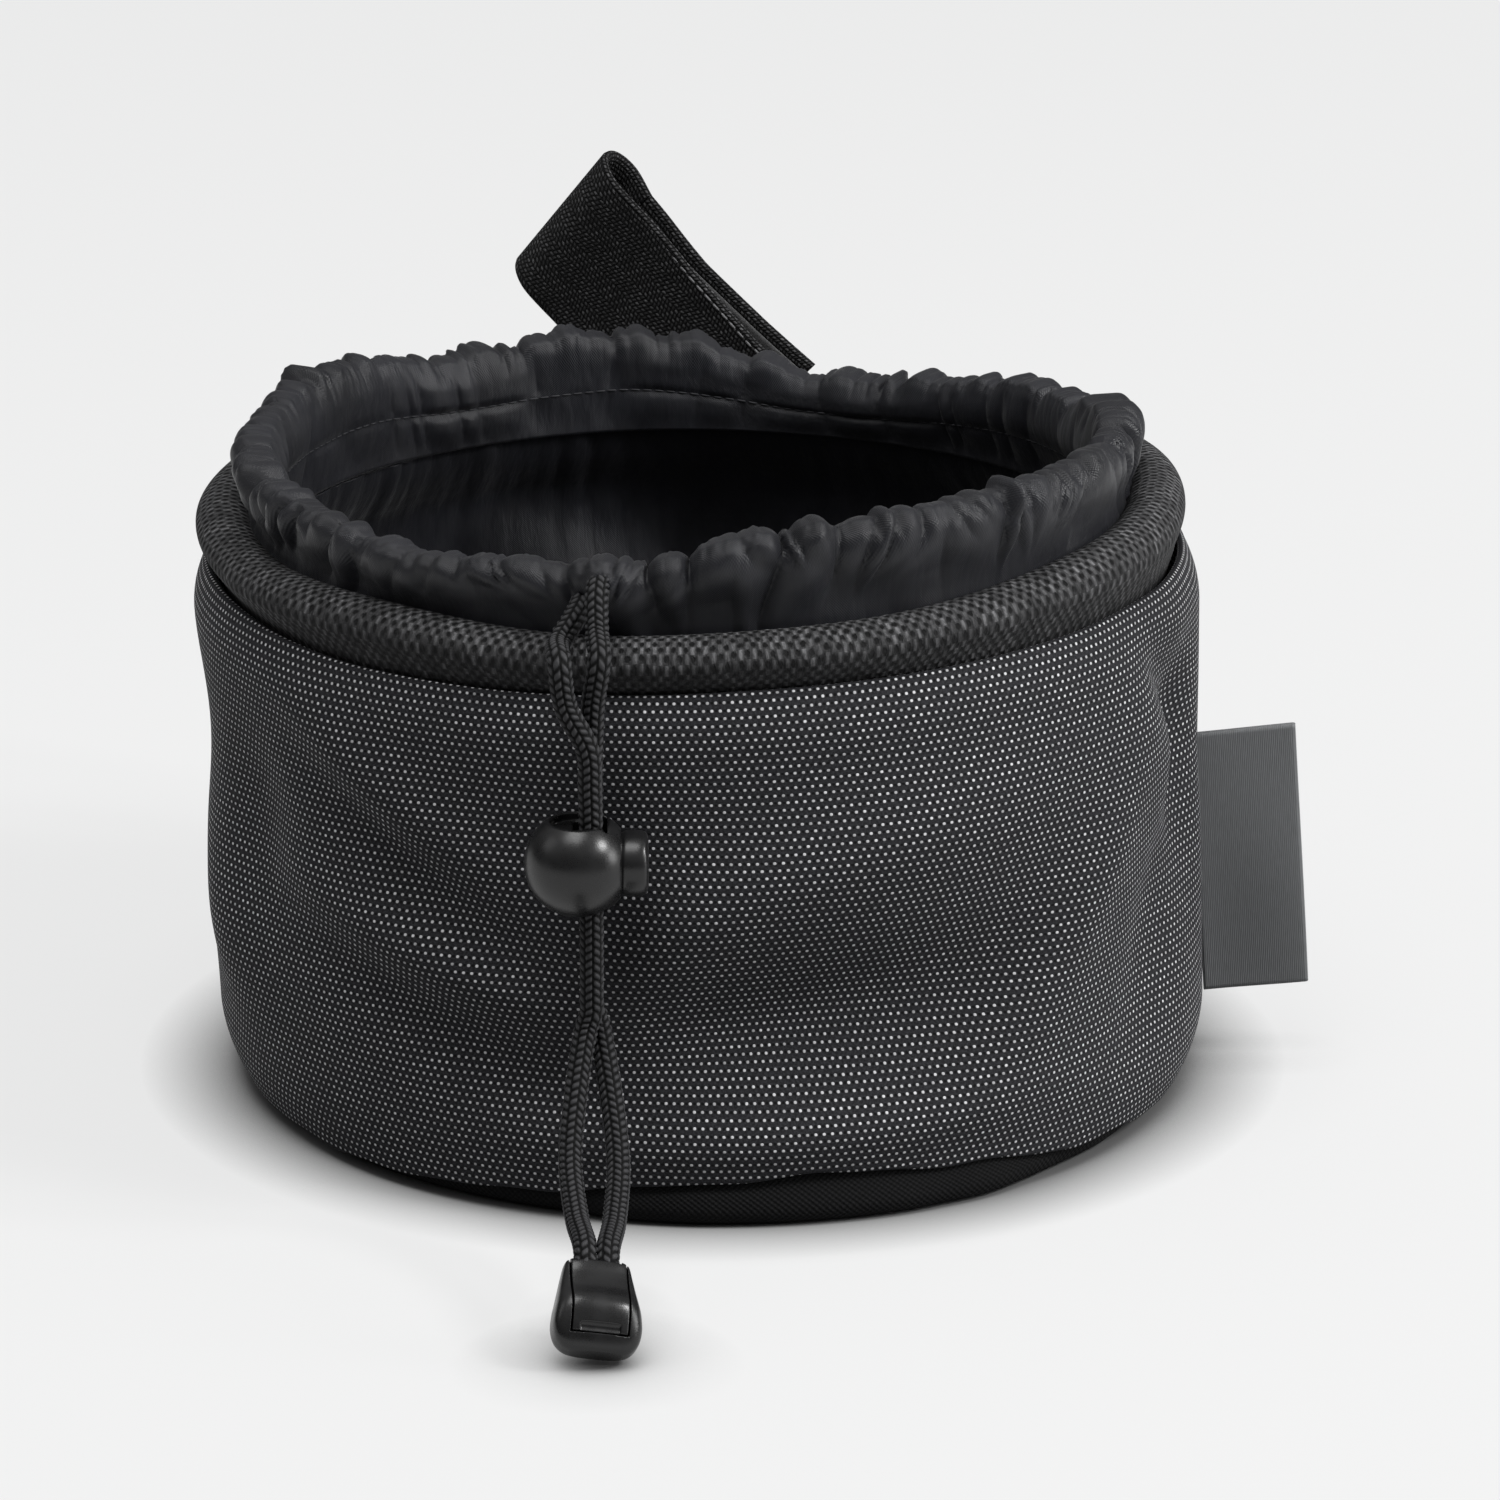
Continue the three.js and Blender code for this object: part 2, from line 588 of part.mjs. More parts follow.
// Strap: sewn root on the back wall, front leg with the fold, free rear flap, and the two
// patches that hold the flap closed.
function buildStrap() {
  const legMid = GAP + STRAP_THICK / 2;
  const hookLow = legMid + STRAP_THICK / 2 + GAP;
  const loopLow = hookLow + TAPE_THICK + GAP;
  const flapMid = loopLow + TAPE_THICK + GAP + STRAP_THICK / 2;
  const foldMid = (legMid + flapMid) / 2;
  const reach = FLAP_START - STRAP_LOOP - GAP;
  const foldLine = smooth(
    [
      [STRAP_HINGE - GAP, legMid],
      [TAPE_START, legMid],
      [FLAP_START, legMid - STRAP_LOOP / 8],
      ...arc(STRAP_LOOP, foldMid, STRAP_LOOP, 270, 90, 8),
      [STRAP_LOOP + reach, flapMid + STRAP_LOOP / 6],
    ],
    30,
  );
  add("strap_front_leg", webbing(strip(foldLine, STRAP_THICK), STRAP_WIDTH), "woven_tape");
  const flapLine = smooth(
    [
      [FLAP_START, flapMid + STRAP_LOOP / 6],
      [TAPE_START - 2, flapMid],
      [STRAP_FLAP, flapMid],
    ],
    6,
  );
  add("strap_rear_flap", webbing(strip(flapLine, STRAP_THICK), STRAP_WIDTH), "woven_tape");

  const tape = (start, length, low) =>
    webbing(
      [
        [start, low],
        [start + length, low],
        [start + length, low + TAPE_THICK],
        [start, low + TAPE_THICK],
      ],
      STRAP_WIDTH - 2 * TAPE_INSET,
    );
  add("hook_patch", tape(TAPE_START, HOOK_LENGTH, hookLow), "hook_and_loop");
  add("loop_patch", tape(TAPE_START, LOOP_LENGTH, loopLow), "hook_and_loop");

  const root = new THREE.BoxGeometry(STRAP_ROOT, STRAP_THICK, STRAP_WIDTH, 6, 1, 6)
    .translate(STRAP_HINGE + STRAP_ROOT / 2, legMid, 0)
    .applyMatrix4(strapFrame());
  add("strap_root", wrapRound(welded(root)), "woven_tape");
}

// Lays a flat patch of the strap round the drum: distance along the tangent becomes an angle.
function wrapRound(geometry) {
  const out = new THREE.Vector3(Math.sin(rad(STRAP_ANGLE)), Math.cos(rad(STRAP_ANGLE)), 0);
  const tangent = new THREE.Vector3(out.y, -out.x, 0);
  const position = geometry.attributes.position;
  const point = new THREE.Vector3();
  for (let i = 0; i < position.count; i++) {
    point.fromBufferAttribute(position, i);
    const radius = point.dot(out);
    const turn = point.dot(tangent) / radius;
    const z = point.z;
    point.copy(out).multiplyScalar(radius * Math.cos(turn));
    point.addScaledVector(tangent, radius * Math.sin(turn));
    position.setXYZ(i, point.x, point.y, z);
  }
  return geometry;
}

// Tag: one strip folded at its outer edge, its two ends at the side seam.
function buildTag() {
  const half = TAG_LEAF + GAP / 2;
  const shape = new THREE.Shape();
  shape.moveTo(0, -half);
  shape.lineTo(TAG_WIDTH, -half);
  shape.lineTo(TAG_WIDTH, half);
  shape.lineTo(0, half);
  shape.lineTo(0, GAP / 2);
  shape.lineTo(TAG_WIDTH - TAG_LEAF, GAP / 2);
  shape.lineTo(TAG_WIDTH - TAG_LEAF, -GAP / 2);
  shape.lineTo(0, -GAP / 2);
  const folded = new THREE.ExtrudeGeometry(shape, {
    depth: TAG_HEIGHT,
    steps: 1,
    bevelEnabled: false,
  });
  folded.translate(0, 0, -TAG_HEIGHT);
  folded.rotateY(rad(-TAG_SLOPE));
  folded.translate(WALL_RADIUS + 2 * GAP, 0, TAG_LOW + TAG_HEIGHT);
  add("side_tag", folded, "tag_fabric");
}

const hangRadius = WALL_RADIUS + TAIL_DROP_GAP + CORD + GAP;
const lockAt = new THREE.Vector3(
  LOCK_SIDE - LOCK_CORD_OFFSET,
  -Math.sqrt(hangRadius ** 2 - LOCK_SIDE ** 2),
  LOCK_HEIGHT,
);
const end = endFrame();
buildDrum();
buildRim();
buildCollar();
buildCord(lockAt, end);
buildLock(lockAt);
buildEnd(end);
buildStrap();
buildTag();

export default part;
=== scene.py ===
"""Looks of a drawstring peg bag: dotted drum, rolled rim, gathered collar, braided cords with a ball
lock and a snap end, hanging strap and side tag. Metres, +Z up, the front faces -Y."""

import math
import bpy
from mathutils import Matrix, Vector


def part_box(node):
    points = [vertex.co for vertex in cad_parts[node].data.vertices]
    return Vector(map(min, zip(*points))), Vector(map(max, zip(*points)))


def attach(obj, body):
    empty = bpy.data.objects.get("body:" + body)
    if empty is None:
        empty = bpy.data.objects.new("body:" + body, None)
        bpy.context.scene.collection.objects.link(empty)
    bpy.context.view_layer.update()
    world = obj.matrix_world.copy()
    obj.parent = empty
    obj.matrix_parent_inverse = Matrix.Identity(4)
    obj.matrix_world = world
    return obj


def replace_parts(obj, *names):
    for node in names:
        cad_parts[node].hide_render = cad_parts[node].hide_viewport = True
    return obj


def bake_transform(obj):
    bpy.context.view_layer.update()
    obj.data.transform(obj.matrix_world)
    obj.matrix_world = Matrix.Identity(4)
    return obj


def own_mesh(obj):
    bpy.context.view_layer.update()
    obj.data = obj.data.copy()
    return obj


bl_info = {
    "name": "Peg bag",
    "version": (1, 0, 0),
    "blender": (4, 5, 0),
    "location": "3D View > Sidebar > Peg bag",
    "description": "Builds the visible pieces of a drawstring peg bag round its packed model",
    "category": "Add Mesh",
}

import bpy
import numpy as np
from bpy.props import FloatProperty, FloatVectorProperty, PointerProperty
from mathutils import Matrix, Vector

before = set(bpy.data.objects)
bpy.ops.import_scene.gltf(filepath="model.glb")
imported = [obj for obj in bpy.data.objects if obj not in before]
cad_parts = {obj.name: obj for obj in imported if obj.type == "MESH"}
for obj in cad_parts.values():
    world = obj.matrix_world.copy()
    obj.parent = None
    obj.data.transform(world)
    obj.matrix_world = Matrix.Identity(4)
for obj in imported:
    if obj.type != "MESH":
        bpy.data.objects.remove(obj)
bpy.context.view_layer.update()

MM = 0.001
UV_NAME = "cloth"

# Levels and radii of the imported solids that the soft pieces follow.
WALL_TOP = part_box("outer_wall")[1].z
WALL_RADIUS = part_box("outer_wall")[1].x
BASE_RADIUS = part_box("base_panel")[1].x
BAND_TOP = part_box("rim_band")[1].z
BAND_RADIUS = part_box("rim_band")[1].x
COLLAR_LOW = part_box("drawstring_collar")[0].z
LINING_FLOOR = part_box("base_lining")[1].z
LINING_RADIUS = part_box("wall_lining")[1].x
CORD_HEIGHT = (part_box("drawcord_loop")[0].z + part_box("drawcord_loop")[1].z) / 2
CORD_HALF = 1.6 * MM
CORD_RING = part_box("drawcord_loop")[1].x - CORD_HALF
CORD_SEAT = 1.9 * MM


def length(name, text, millimetres):
    """A size that a user may change."""
    return FloatProperty(
        name=name, description=text, default=millimetres * MM, min=0.0, subtype="DISTANCE", unit="LENGTH"
    )


def colour(name, text, value):
    """A colour that a user may change."""
    return FloatVectorProperty(
        name=name, description=text, default=value, min=0.0, max=1.0, size=3, subtype="COLOR"
    )


def share(name, text, value):
    """A plain number from 0 to 1."""
    return FloatProperty(name=name, description=text, default=value, min=0.0, max=1.0, subtype="FACTOR")


class DrumSettings(bpy.types.PropertyGroup):
    """Dotted drum fabric, base and lining."""

    ground: colour("Ground", "Ground of the dotted fabric", (0.024, 0.024, 0.027))
    dot: colour("Dots", "Pale floats of the dotted fabric", (0.86, 0.86, 0.88))
    dot_pitch: length("Dot pitch", "Spacing of the dots along a row", 1.36)
    dot_row: length("Dot rows", "Spacing of the rows of dots", 1.16)
    dot_size: length("Dot size", "Width of one dot", 0.52)
    wall_thick: length("Wall thickness", "Thickness of the padded wall", 1.7)
    base: colour("Base", "Plain fabric of the base", (0.010, 0.010, 0.0105))
    lining: colour("Lining", "Smooth lining and collar fabric", (0.0130, 0.0134, 0.0168))
    board: colour("Board", "Stiffener inside the base", (0.16, 0.15, 0.14))


class RimSettings(bpy.types.PropertyGroup):
    """Rim tape, collar and strap webbing."""

    tape: colour("Tape", "Yarn of the rim tape", (0.19, 0.19, 0.196))
    tape_yarn: length("Tape yarn", "Spacing of the floats of the rim tape", 2.1)
    band_thick: length("Band thickness", "Thickness of the rim tape", 2.2)
    webbing: colour("Webbing", "Yarn of the hanging strap", (0.125, 0.125, 0.128))
    webbing_yarn: length("Webbing yarn", "Width of one yarn of the strap", 0.8)
    strap_thick: length("Strap thickness", "Thickness of the strap webbing", 1.6)
    strap_width: length("Strap width", "Width of the strap webbing", 28.0)
    thread: colour("Thread", "Sewing thread on the strap", (0.16, 0.16, 0.165))
    patch: colour("Patch", "Hook and loop patches", (0.010, 0.010, 0.011))
    collar_thick: length("Collar thickness", "Thickness of the collar cloth", 0.5)
    tag: colour("Tag", "Satin of the side tag", (0.155, 0.160, 0.165))


class CordSettings(bpy.types.PropertyGroup):
    """Braided cord, ball lock and cord end."""

    size: length("Cord", "Diameter of the cord", 3.2)
    plump: length("Plump", "Diameter over the soft stitches of the cord", 3.95)
    relief: length("Braid relief", "Depth between the stitches of the braid", 0.5)
    stitch: length("Braid stitch", "Spacing of the stitches along the braid", 1.35)
    braid: colour("Braid", "Yarn of the cord", (0.043, 0.043, 0.0455))
    plastic: colour("Plastic", "Moulded black plastic", (0.007, 0.007, 0.0074))
    steel: colour("Steel", "Spring and hoop wire", (0.55, 0.56, 0.57))
    ball: length("Ball", "Radius of the lock's ball", 8.7)
    ball_flat: length("Ball flat", "Half height between the flats of the ball", 7.0)
    button: length("Button", "Radius of the lock's button", 5.2)


class StageSettings(bpy.types.PropertyGroup):
    """Floor, light and camera."""

    floor: colour("Floor", "Pale floor", (0.86, 0.862, 0.862))
    horizon: share("Horizon", "Light of the room at eye level", 0.02)
    zenith: share("Zenith", "Light of the room from above", 0.45)
    lens: FloatProperty(name="Lens", description="Focal length in millimetres", default=190.1, min=1.0)


class PegBagSettings(bpy.types.PropertyGroup):
    """All sizes and colours of the peg bag."""

    drum: PointerProperty(type=DrumSettings)
    rim: PointerProperty(type=RimSettings)
    cord: PointerProperty(type=CordSettings)
    stage: PointerProperty(type=StageSettings)


# Points, lines and irregular forms


def unit(vectors):
    return vectors / np.linalg.norm(vectors, axis=-1, keepdims=True)


def smoothstep(low, high, value):
    t = np.clip((value - low) / (high - low), 0, 1)
    return t * t * (3 - 2 * t)


def joined(*parts):
    """Coordinates, spread to one shape, as points."""
    return np.stack(np.broadcast_arrays(*parts), -1)


def full_turn(count):
    """Even angles of one full turn."""
    return np.linspace(0, 2 * np.pi, count, endpoint=False)


def wrapped(degrees):
    """The same angle between -180 and 180 degrees."""
    return (degrees + 180) % 360 - 180


def around(radius, angle, z):
    """Points round the drum's axis, the angle measured from the front towards +X."""
    return joined(radius * np.sin(angle), -radius * np.cos(angle), z)


def turn_angles(columns):
    """Even angles of a closed ring, with the seam at the back."""
    return np.linspace(-np.pi, np.pi, columns, endpoint=False)[None, :]


def waves(angle, seed, low, high, count):
    """Smooth irregular ripple round a ring, about -1 to 1, of whole waves per turn."""
    rng = np.random.default_rng(seed)
    total = 0
    for order, phase in zip(rng.integers(low, high + 1, count), rng.uniform(0, 2 * np.pi, count)):
        total = total + np.sin(order * angle + phase)
    return total / math.sqrt(count)


PUFF_LEAST = 0.35
PUFF_ROUND = 0.75
KNOT_BLUR = 17


def lobes(angle, seed, count, jitter):
    """Puffs round a ring with sharp creases between them, from 0 at a crease to 1 on the tallest puff."""
    rng = np.random.default_rng(seed)
    edges = np.cumsum(np.concatenate([[0], 1 + jitter * rng.uniform(-1, 1, count)]))
    edges = edges / edges[-1]
    tall = rng.uniform(PUFF_LEAST, 1.0, count)
    place = (angle / (2 * np.pi)) % 1.0
    index = np.clip(np.searchsorted(edges, place, side="right") - 1, 0, count - 1)
    inside = (place - edges[index]) / (edges[index + 1] - edges[index])
    return tall[index] * np.sin(np.pi * np.clip(inside, 0, 1)) ** PUFF_ROUND


def through(points, steps):
    """Smooth line through a few control points."""
    points = np.asarray(points, float)
    before = 2 * points[0] - points[1]
    after = 2 * points[-1] - points[-2]
    padded = np.vstack([before, points, after])
    place = np.linspace(0, len(points) - 1, steps)
    index = np.clip(place.astype(int), 0, len(points) - 2)
    p0, p1, p2, p3 = (padded[index + k] for k in range(4))
    knots = [np.zeros(steps)]
    for a, b in ((p0, p1), (p1, p2), (p2, p3)):
        knots.append(knots[-1] + np.sqrt(np.linalg.norm(b - a, axis=1)) + 1e-9)
    t0, t1, t2, t3 = (k[:, None] for k in knots)
    t = t1 + (t2 - t1) * (place - index)[:, None]
    a1 = p0 * (t1 - t) / (t1 - t0) + p1 * (t - t0) / (t1 - t0)
    a2 = p1 * (t2 - t) / (t2 - t1) + p2 * (t - t1) / (t2 - t1)
    a3 = p2 * (t3 - t) / (t3 - t2) + p3 * (t - t2) / (t3 - t2)
    b1 = a1 * (t2 - t) / (t2 - t0) + a2 * (t - t0) / (t2 - t0)
    b2 = a2 * (t3 - t) / (t3 - t1) + a3 * (t - t1) / (t3 - t1)
    return b1 * (t2 - t) / (t2 - t1) + b2 * (t - t1) / (t2 - t1)


def run(line):
    """Distance along a line at each of its points."""
    return np.concatenate([[0], np.cumsum(np.linalg.norm(np.diff(line, axis=0), axis=1))])


def evened(line, step):
    """The same line with points at even spacing."""
    along = run(line)
    places = np.linspace(0, along[-1], max(3, int(round(along[-1] / step)) + 1))
    return np.stack([np.interp(places, along, line[:, k]) for k in range(line.shape[1])], 1)


def turned_frames(line):
    """Two cross directions along a line, carried along without twist."""
    tangent = unit(np.gradient(line, axis=0))
    side = np.zeros_like(line)
    start = np.array([1.0, 0, 0]) if abs(tangent[0][0]) < 0.9 else np.array([0, 1.0, 0])
    side[0] = unit(start - tangent[0] * (start @ tangent[0]))
    for k in range(1, len(line)):
        carried = side[k - 1] - tangent[k] * (side[k - 1] @ tangent[k])
        side[k] = carried / np.linalg.norm(carried)
    return side, np.cross(tangent, side)


def round_knots(knots, angle):
    """Smooth closed course through (angle in degrees, value) pairs, read at the given angles."""
    degrees = np.array([k[0] for k in knots], float)
    values = np.array([k[1] for k in knots], float)
    spread_degrees = np.concatenate([degrees - 360, degrees, degrees + 360])
    fine = np.linspace(-360, 360, 721)
    course = np.interp(fine, spread_degrees, np.tile(values, 3))
    kernel = np.hanning(KNOT_BLUR)
    course = np.convolve(course, kernel / kernel.sum(), mode="same")
    return np.interp(wrapped(np.degrees(angle)), fine, course)


LEAN_HEIGHT = 88.0 * MM
LEAN_ABOVE = 1.3
LEAN_FOOT = 1.3
LEAN_TOP = 3.3
RIM_TILT = 0.026
RIM_LIFT = 1.4 * MM


def lean(points, tilt=RIM_TILT, lift=RIM_LIFT):
    """The slack drum's stance: its top stands a little to the left, and its rim rises to the right."""
    leant = points.copy()
    height = np.clip(points[..., 2] / LEAN_HEIGHT, 0, LEAN_ABOVE)
    leant[..., 0] += (LEAN_FOOT - LEAN_TOP * height) * MM
    leant[..., 2] += height * (lift + tilt * points[..., 0])
    return leant


DENTS = [
    # angle and height of the middle, half widths along and across, tilt in degrees, depth in mm
    (-38, 70, 26, 6, -32, 1.8),
    (-34, 56, 24, 6, -30, -1.9),
    (-33, 42, 28, 5, -16, 1.7),
    (-32, 30, 28, 6, -20, -1.7),
    (-62, 56, 12, 16, 0, -2.4),
    (-70, 34, 16, 12, -30, 2.0),
    (-4, 47, 22, 8, 38, 1.6),
    (24, 62, 42, 10, 12, 2.2),
    (12, 33, 40, 11, 8, -6.0),
    (45, 42, 30, 9, 52, 2.6),
    (66, 36, 26, 12, 52, -3.0),
    (14, 12, 46, 6, 3, 2.0),
    (70, 74, 24, 7, -38, -3.0),
    (78, 56, 8, 20, 0, -2.4),
    (130, 40, 40, 12, 30, -4.0),
    (165, 32, 36, 10, -20, 1.0),
    (-100, 56, 30, 12, 20, -2.4),
    (-130, 34, 40, 12, -24, -4.0),
    (-165, 60, 30, 10, 40, -2.6),
]
DENT_DEPTH = 1.4
DENT_FOOT = (6 * MM, 20 * MM)
DENT_RIM = (74 * MM, 90 * MM)
DENT_RIM_HOLD = 0.75


def dent(angle, z):
    """Soft dents and bulges of the slack drum fabric, outwards positive."""
    total = 0
    for middle, height, long, wide, tilt, depth in DENTS:
        across = np.radians(wrapped(np.degrees(angle) - middle)) * WALL_RADIUS / MM
        up = z / MM - height
        c, s = math.cos(math.radians(tilt)), math.sin(math.radians(tilt))
        a, b = (across * c + up * s) / long, (up * c - across * s) / wide
        total = total + DENT_DEPTH * depth * MM * np.exp(-(a * a + b * b))
    held = smoothstep(*DENT_FOOT, z) * (1 - DENT_RIM_HOLD * smoothstep(*DENT_RIM, z))
    return total * held


# Meshes


def link(obj):
    bpy.context.scene.collection.objects.link(obj)
    return obj


def finished(name, mesh, material, flat_faces=0):
    """The mesh as a smooth piece of one material, its last faces left flat."""
    count = len(mesh.polygons)
    mesh.polygons.foreach_set("use_smooth", np.arange(count) < count - flat_faces)
    mesh.materials.append(material)
    mesh.update()
    return link(bpy.data.objects.new(name, mesh))


def mesh_piece(name, points, uv, material, wrap_rows=False, wrap_cols=False, capped=False):
    """Closed quad mesh over rows and columns of points; uv has one more row or column where it wraps."""
    rows, cols = points.shape[:2]
    i, j = np.meshgrid(
        np.arange(rows - (not wrap_rows)), np.arange(cols - (not wrap_cols)), indexing="ij"
    )
    corners = [(i, j), (i, j + 1), (i + 1, j + 1), (i + 1, j)]
    faces = np.stack([(a % rows) * cols + b % cols for a, b in corners], -1).reshape(-1, 4)
    face_uv = np.stack([uv[a, b] for a, b in corners], 2).reshape(-1, 4, 2)
    flat = points.reshape(-1, 3)
    p = flat - flat.mean(0)
    volume = np.einsum("ij,ij->i", p[faces[:, 0]], np.cross(p[faces[:, 1]], p[faces[:, 2]])).sum()
    volume += np.einsum("ij,ij->i", p[faces[:, 0]], np.cross(p[faces[:, 2]], p[faces[:, 3]])).sum()
    caps, cap_uv = [], []
    if capped:
        caps = [list(range(cols))[::-1], [(rows - 1) * cols + k for k in range(cols)]]
        cap_uv = [uv[0, :cols][::-1], uv[rows - 1, :cols]]
    if volume < 0:
        faces, face_uv = faces[:, ::-1], face_uv[:, ::-1]
        caps, cap_uv = [c[::-1] for c in caps], [c[::-1] for c in cap_uv]
    mesh = bpy.data.meshes.new(name)
    mesh.from_pydata(flat.tolist(), [], faces.tolist() + caps)
    layer = mesh.uv_layers.new(name=UV_NAME)
    loops = np.concatenate([face_uv.reshape(-1, 2), *cap_uv])
    layer.data.foreach_set("uv", loops.astype(np.float32).ravel())
    return finished(name, mesh, material, len(caps))


def thickened(points, thick, wrap_cols):
    """Both faces of a sheet as one closed loop of rows."""
    along = np.gradient(points, axis=0)
    if wrap_cols:
        across = np.roll(points, -1, axis=1) - np.roll(points, 1, axis=1)
    else:
        across = np.gradient(points, axis=1)
    out = unit(np.cross(across, along))
    half = thick / 2
    return np.concatenate([points + out * half, (points - out * half)[::-1]])


def ring_sheet(name, points, thick, radius, material):
    """A sheet sewn into a ring, from points in rows up its height and columns round it."""
    middle = points[:, points.shape[1] // 2]
    v = run(middle)
    v = np.concatenate([v, v[::-1], v[:1]])
    u = np.linspace(-np.pi, np.pi, points.shape[1] + 1) * radius
    uv = joined(u[None, :], v[:, None])
    loop = thickened(points, thick, True)
    return mesh_piece(name, loop, uv, material, wrap_rows=True, wrap_cols=True)


def get_points(mesh):
    """Points of a mesh, one in each row."""
    flat = np.zeros(3 * len(mesh.vertices), np.float32)
    mesh.vertices.foreach_get("co", flat)
    return flat.reshape(-1, 3)


def set_points(mesh, points):
    """Put the points of a mesh in new places."""
    mesh.vertices.foreach_set("co", points.astype(np.float32).ravel())
    mesh.update()


def lay_flat(piece):
    """Run the cloth's pattern straight across a level piece."""
    mesh = piece.data
    corner = np.zeros(len(mesh.loops), np.int32)
    mesh.loops.foreach_get("vertex_index", corner)
    mesh.uv_layers[0].data.foreach_set("uv", get_points(mesh)[corner, :2].ravel())


def swept(name, line, across, out, section, material, uv_along=0.0):
    """A closed section carried along a line, capped at both ends."""
    points = line[:, None] + across[:, None] * section[None, :, :1] + out[:, None] * section[None, :, 1:]
    round_section = run(np.vstack([section, section[:1]]))
    u = uv_along + run(line)
    uv = joined(round_section[None, :], u[:, None])
    return mesh_piece(name, points, uv, material, wrap_cols=True, capped=True)


def flat_section(width, thick, edge=5, flats=24):
    """Section of a flat strip with rounded edges."""
    half = thick / 2
    reach = width / 2 - half
    turn = np.linspace(-np.pi / 2, np.pi / 2, edge)
    right = np.stack([reach + half * np.cos(turn), half * np.sin(turn)], 1)
    back = np.stack([np.linspace(reach, -reach, flats)[1:-1], np.full(flats - 2, half)], 1)
    left = -right
    front = -back
    return np.vstack([right, back, left, front])


def stitch_row(name, places, along, out, size, long, lift, material):
    """Sewing stitches as one mesh: short threads that rise from the cloth and dive back into it."""
    s = np.linspace(-1, 1, 7)
    turn = full_turn(6)
    side = np.cross(along, out)
    thick = size / 2 * np.sqrt(np.clip(1 - s**6, 0.05, 1))
    spine = (
        places[:, None]
        + along[:, None] * (s * long / 2)[None, :, None]
        + out[:, None] * (lift * (1 - s * s) - size * 0.3)[None, :, None]
    )
    ring = side[:, None] * np.cos(turn)[None, :, None] + out[:, None] * np.sin(turn)[None, :, None]
    points = spine[:, :, None] + ring[:, None] * thick[None, :, None, None]
    count, rings, sides = points.shape[:3]
    quads = []
    for r in range(rings - 1):
        for k in range(sides):
            a, b = r * sides + k, r * sides + (k + 1) % sides
            quads.append((a, a + sides, b + sides, b))
    quads = np.array(quads)
    base = np.arange(count)[:, None, None] * rings * sides
    faces = (quads[None] + base).reshape(-1, 4)
    mesh = bpy.data.meshes.new(name)
    mesh.from_pydata(points.reshape(-1, 3).tolist(), [], faces.tolist())
    return finished(name, mesh, material)


def loft(name, sections):
    """Closed solid through rounded sections, as a working object."""
    rows, cols = sections.shape[:2]
    uv = np.zeros((rows, cols + 1, 2))
    return mesh_piece(name, sections, uv, bpy.data.materials[0], wrap_cols=True, capped=True)


def block(low, high):
    """A working box to cut with."""
    (x0, y0, z0), (x1, y1, z1) = low, high
    ring = np.array([(x0, y0), (x1, y0), (x1, y1), (x0, y1)])
    layers = [np.column_stack([ring, np.full(4, z)]) for z in (z0, z1)]
    return loft("cutter", np.array(layers))


def rod(radius, x0, x1, sides=64):
    """A working bar along X to cut with."""
    turn = full_turn(sides)
    ends = np.array([[x0], [x1]])
    return loft("cutter", joined(ends, radius * np.cos(turn), radius * np.sin(turn)))


def moulded(name, body, cutters, voxel, passes, matrix, material):
    """A moulded piece: the body less its cutters, its edges rounded by a fine remesh and smoothing."""
    for cutter in cutters:
        cut = body.modifiers.new("cut", "BOOLEAN")
        cut.object = cutter
        cut.solver = "EXACT"
    remesh = body.modifiers.new("remesh", "REMESH")
    remesh.mode = "VOXEL"
    remesh.voxel_size = voxel
    smooth = body.modifiers.new("smooth", "SMOOTH")
    smooth.iterations = passes
    smooth.factor = 0.5
    graph = bpy.context.evaluated_depsgraph_get()
    mesh = bpy.data.meshes.new_from_object(body.evaluated_get(graph))
    mesh.name = name
    mesh.transform(matrix)
    for spare in [body, *cutters]:
        bpy.data.objects.remove(spare)
    mesh.materials.clear()
    return finished(name, mesh, material)


# Materials


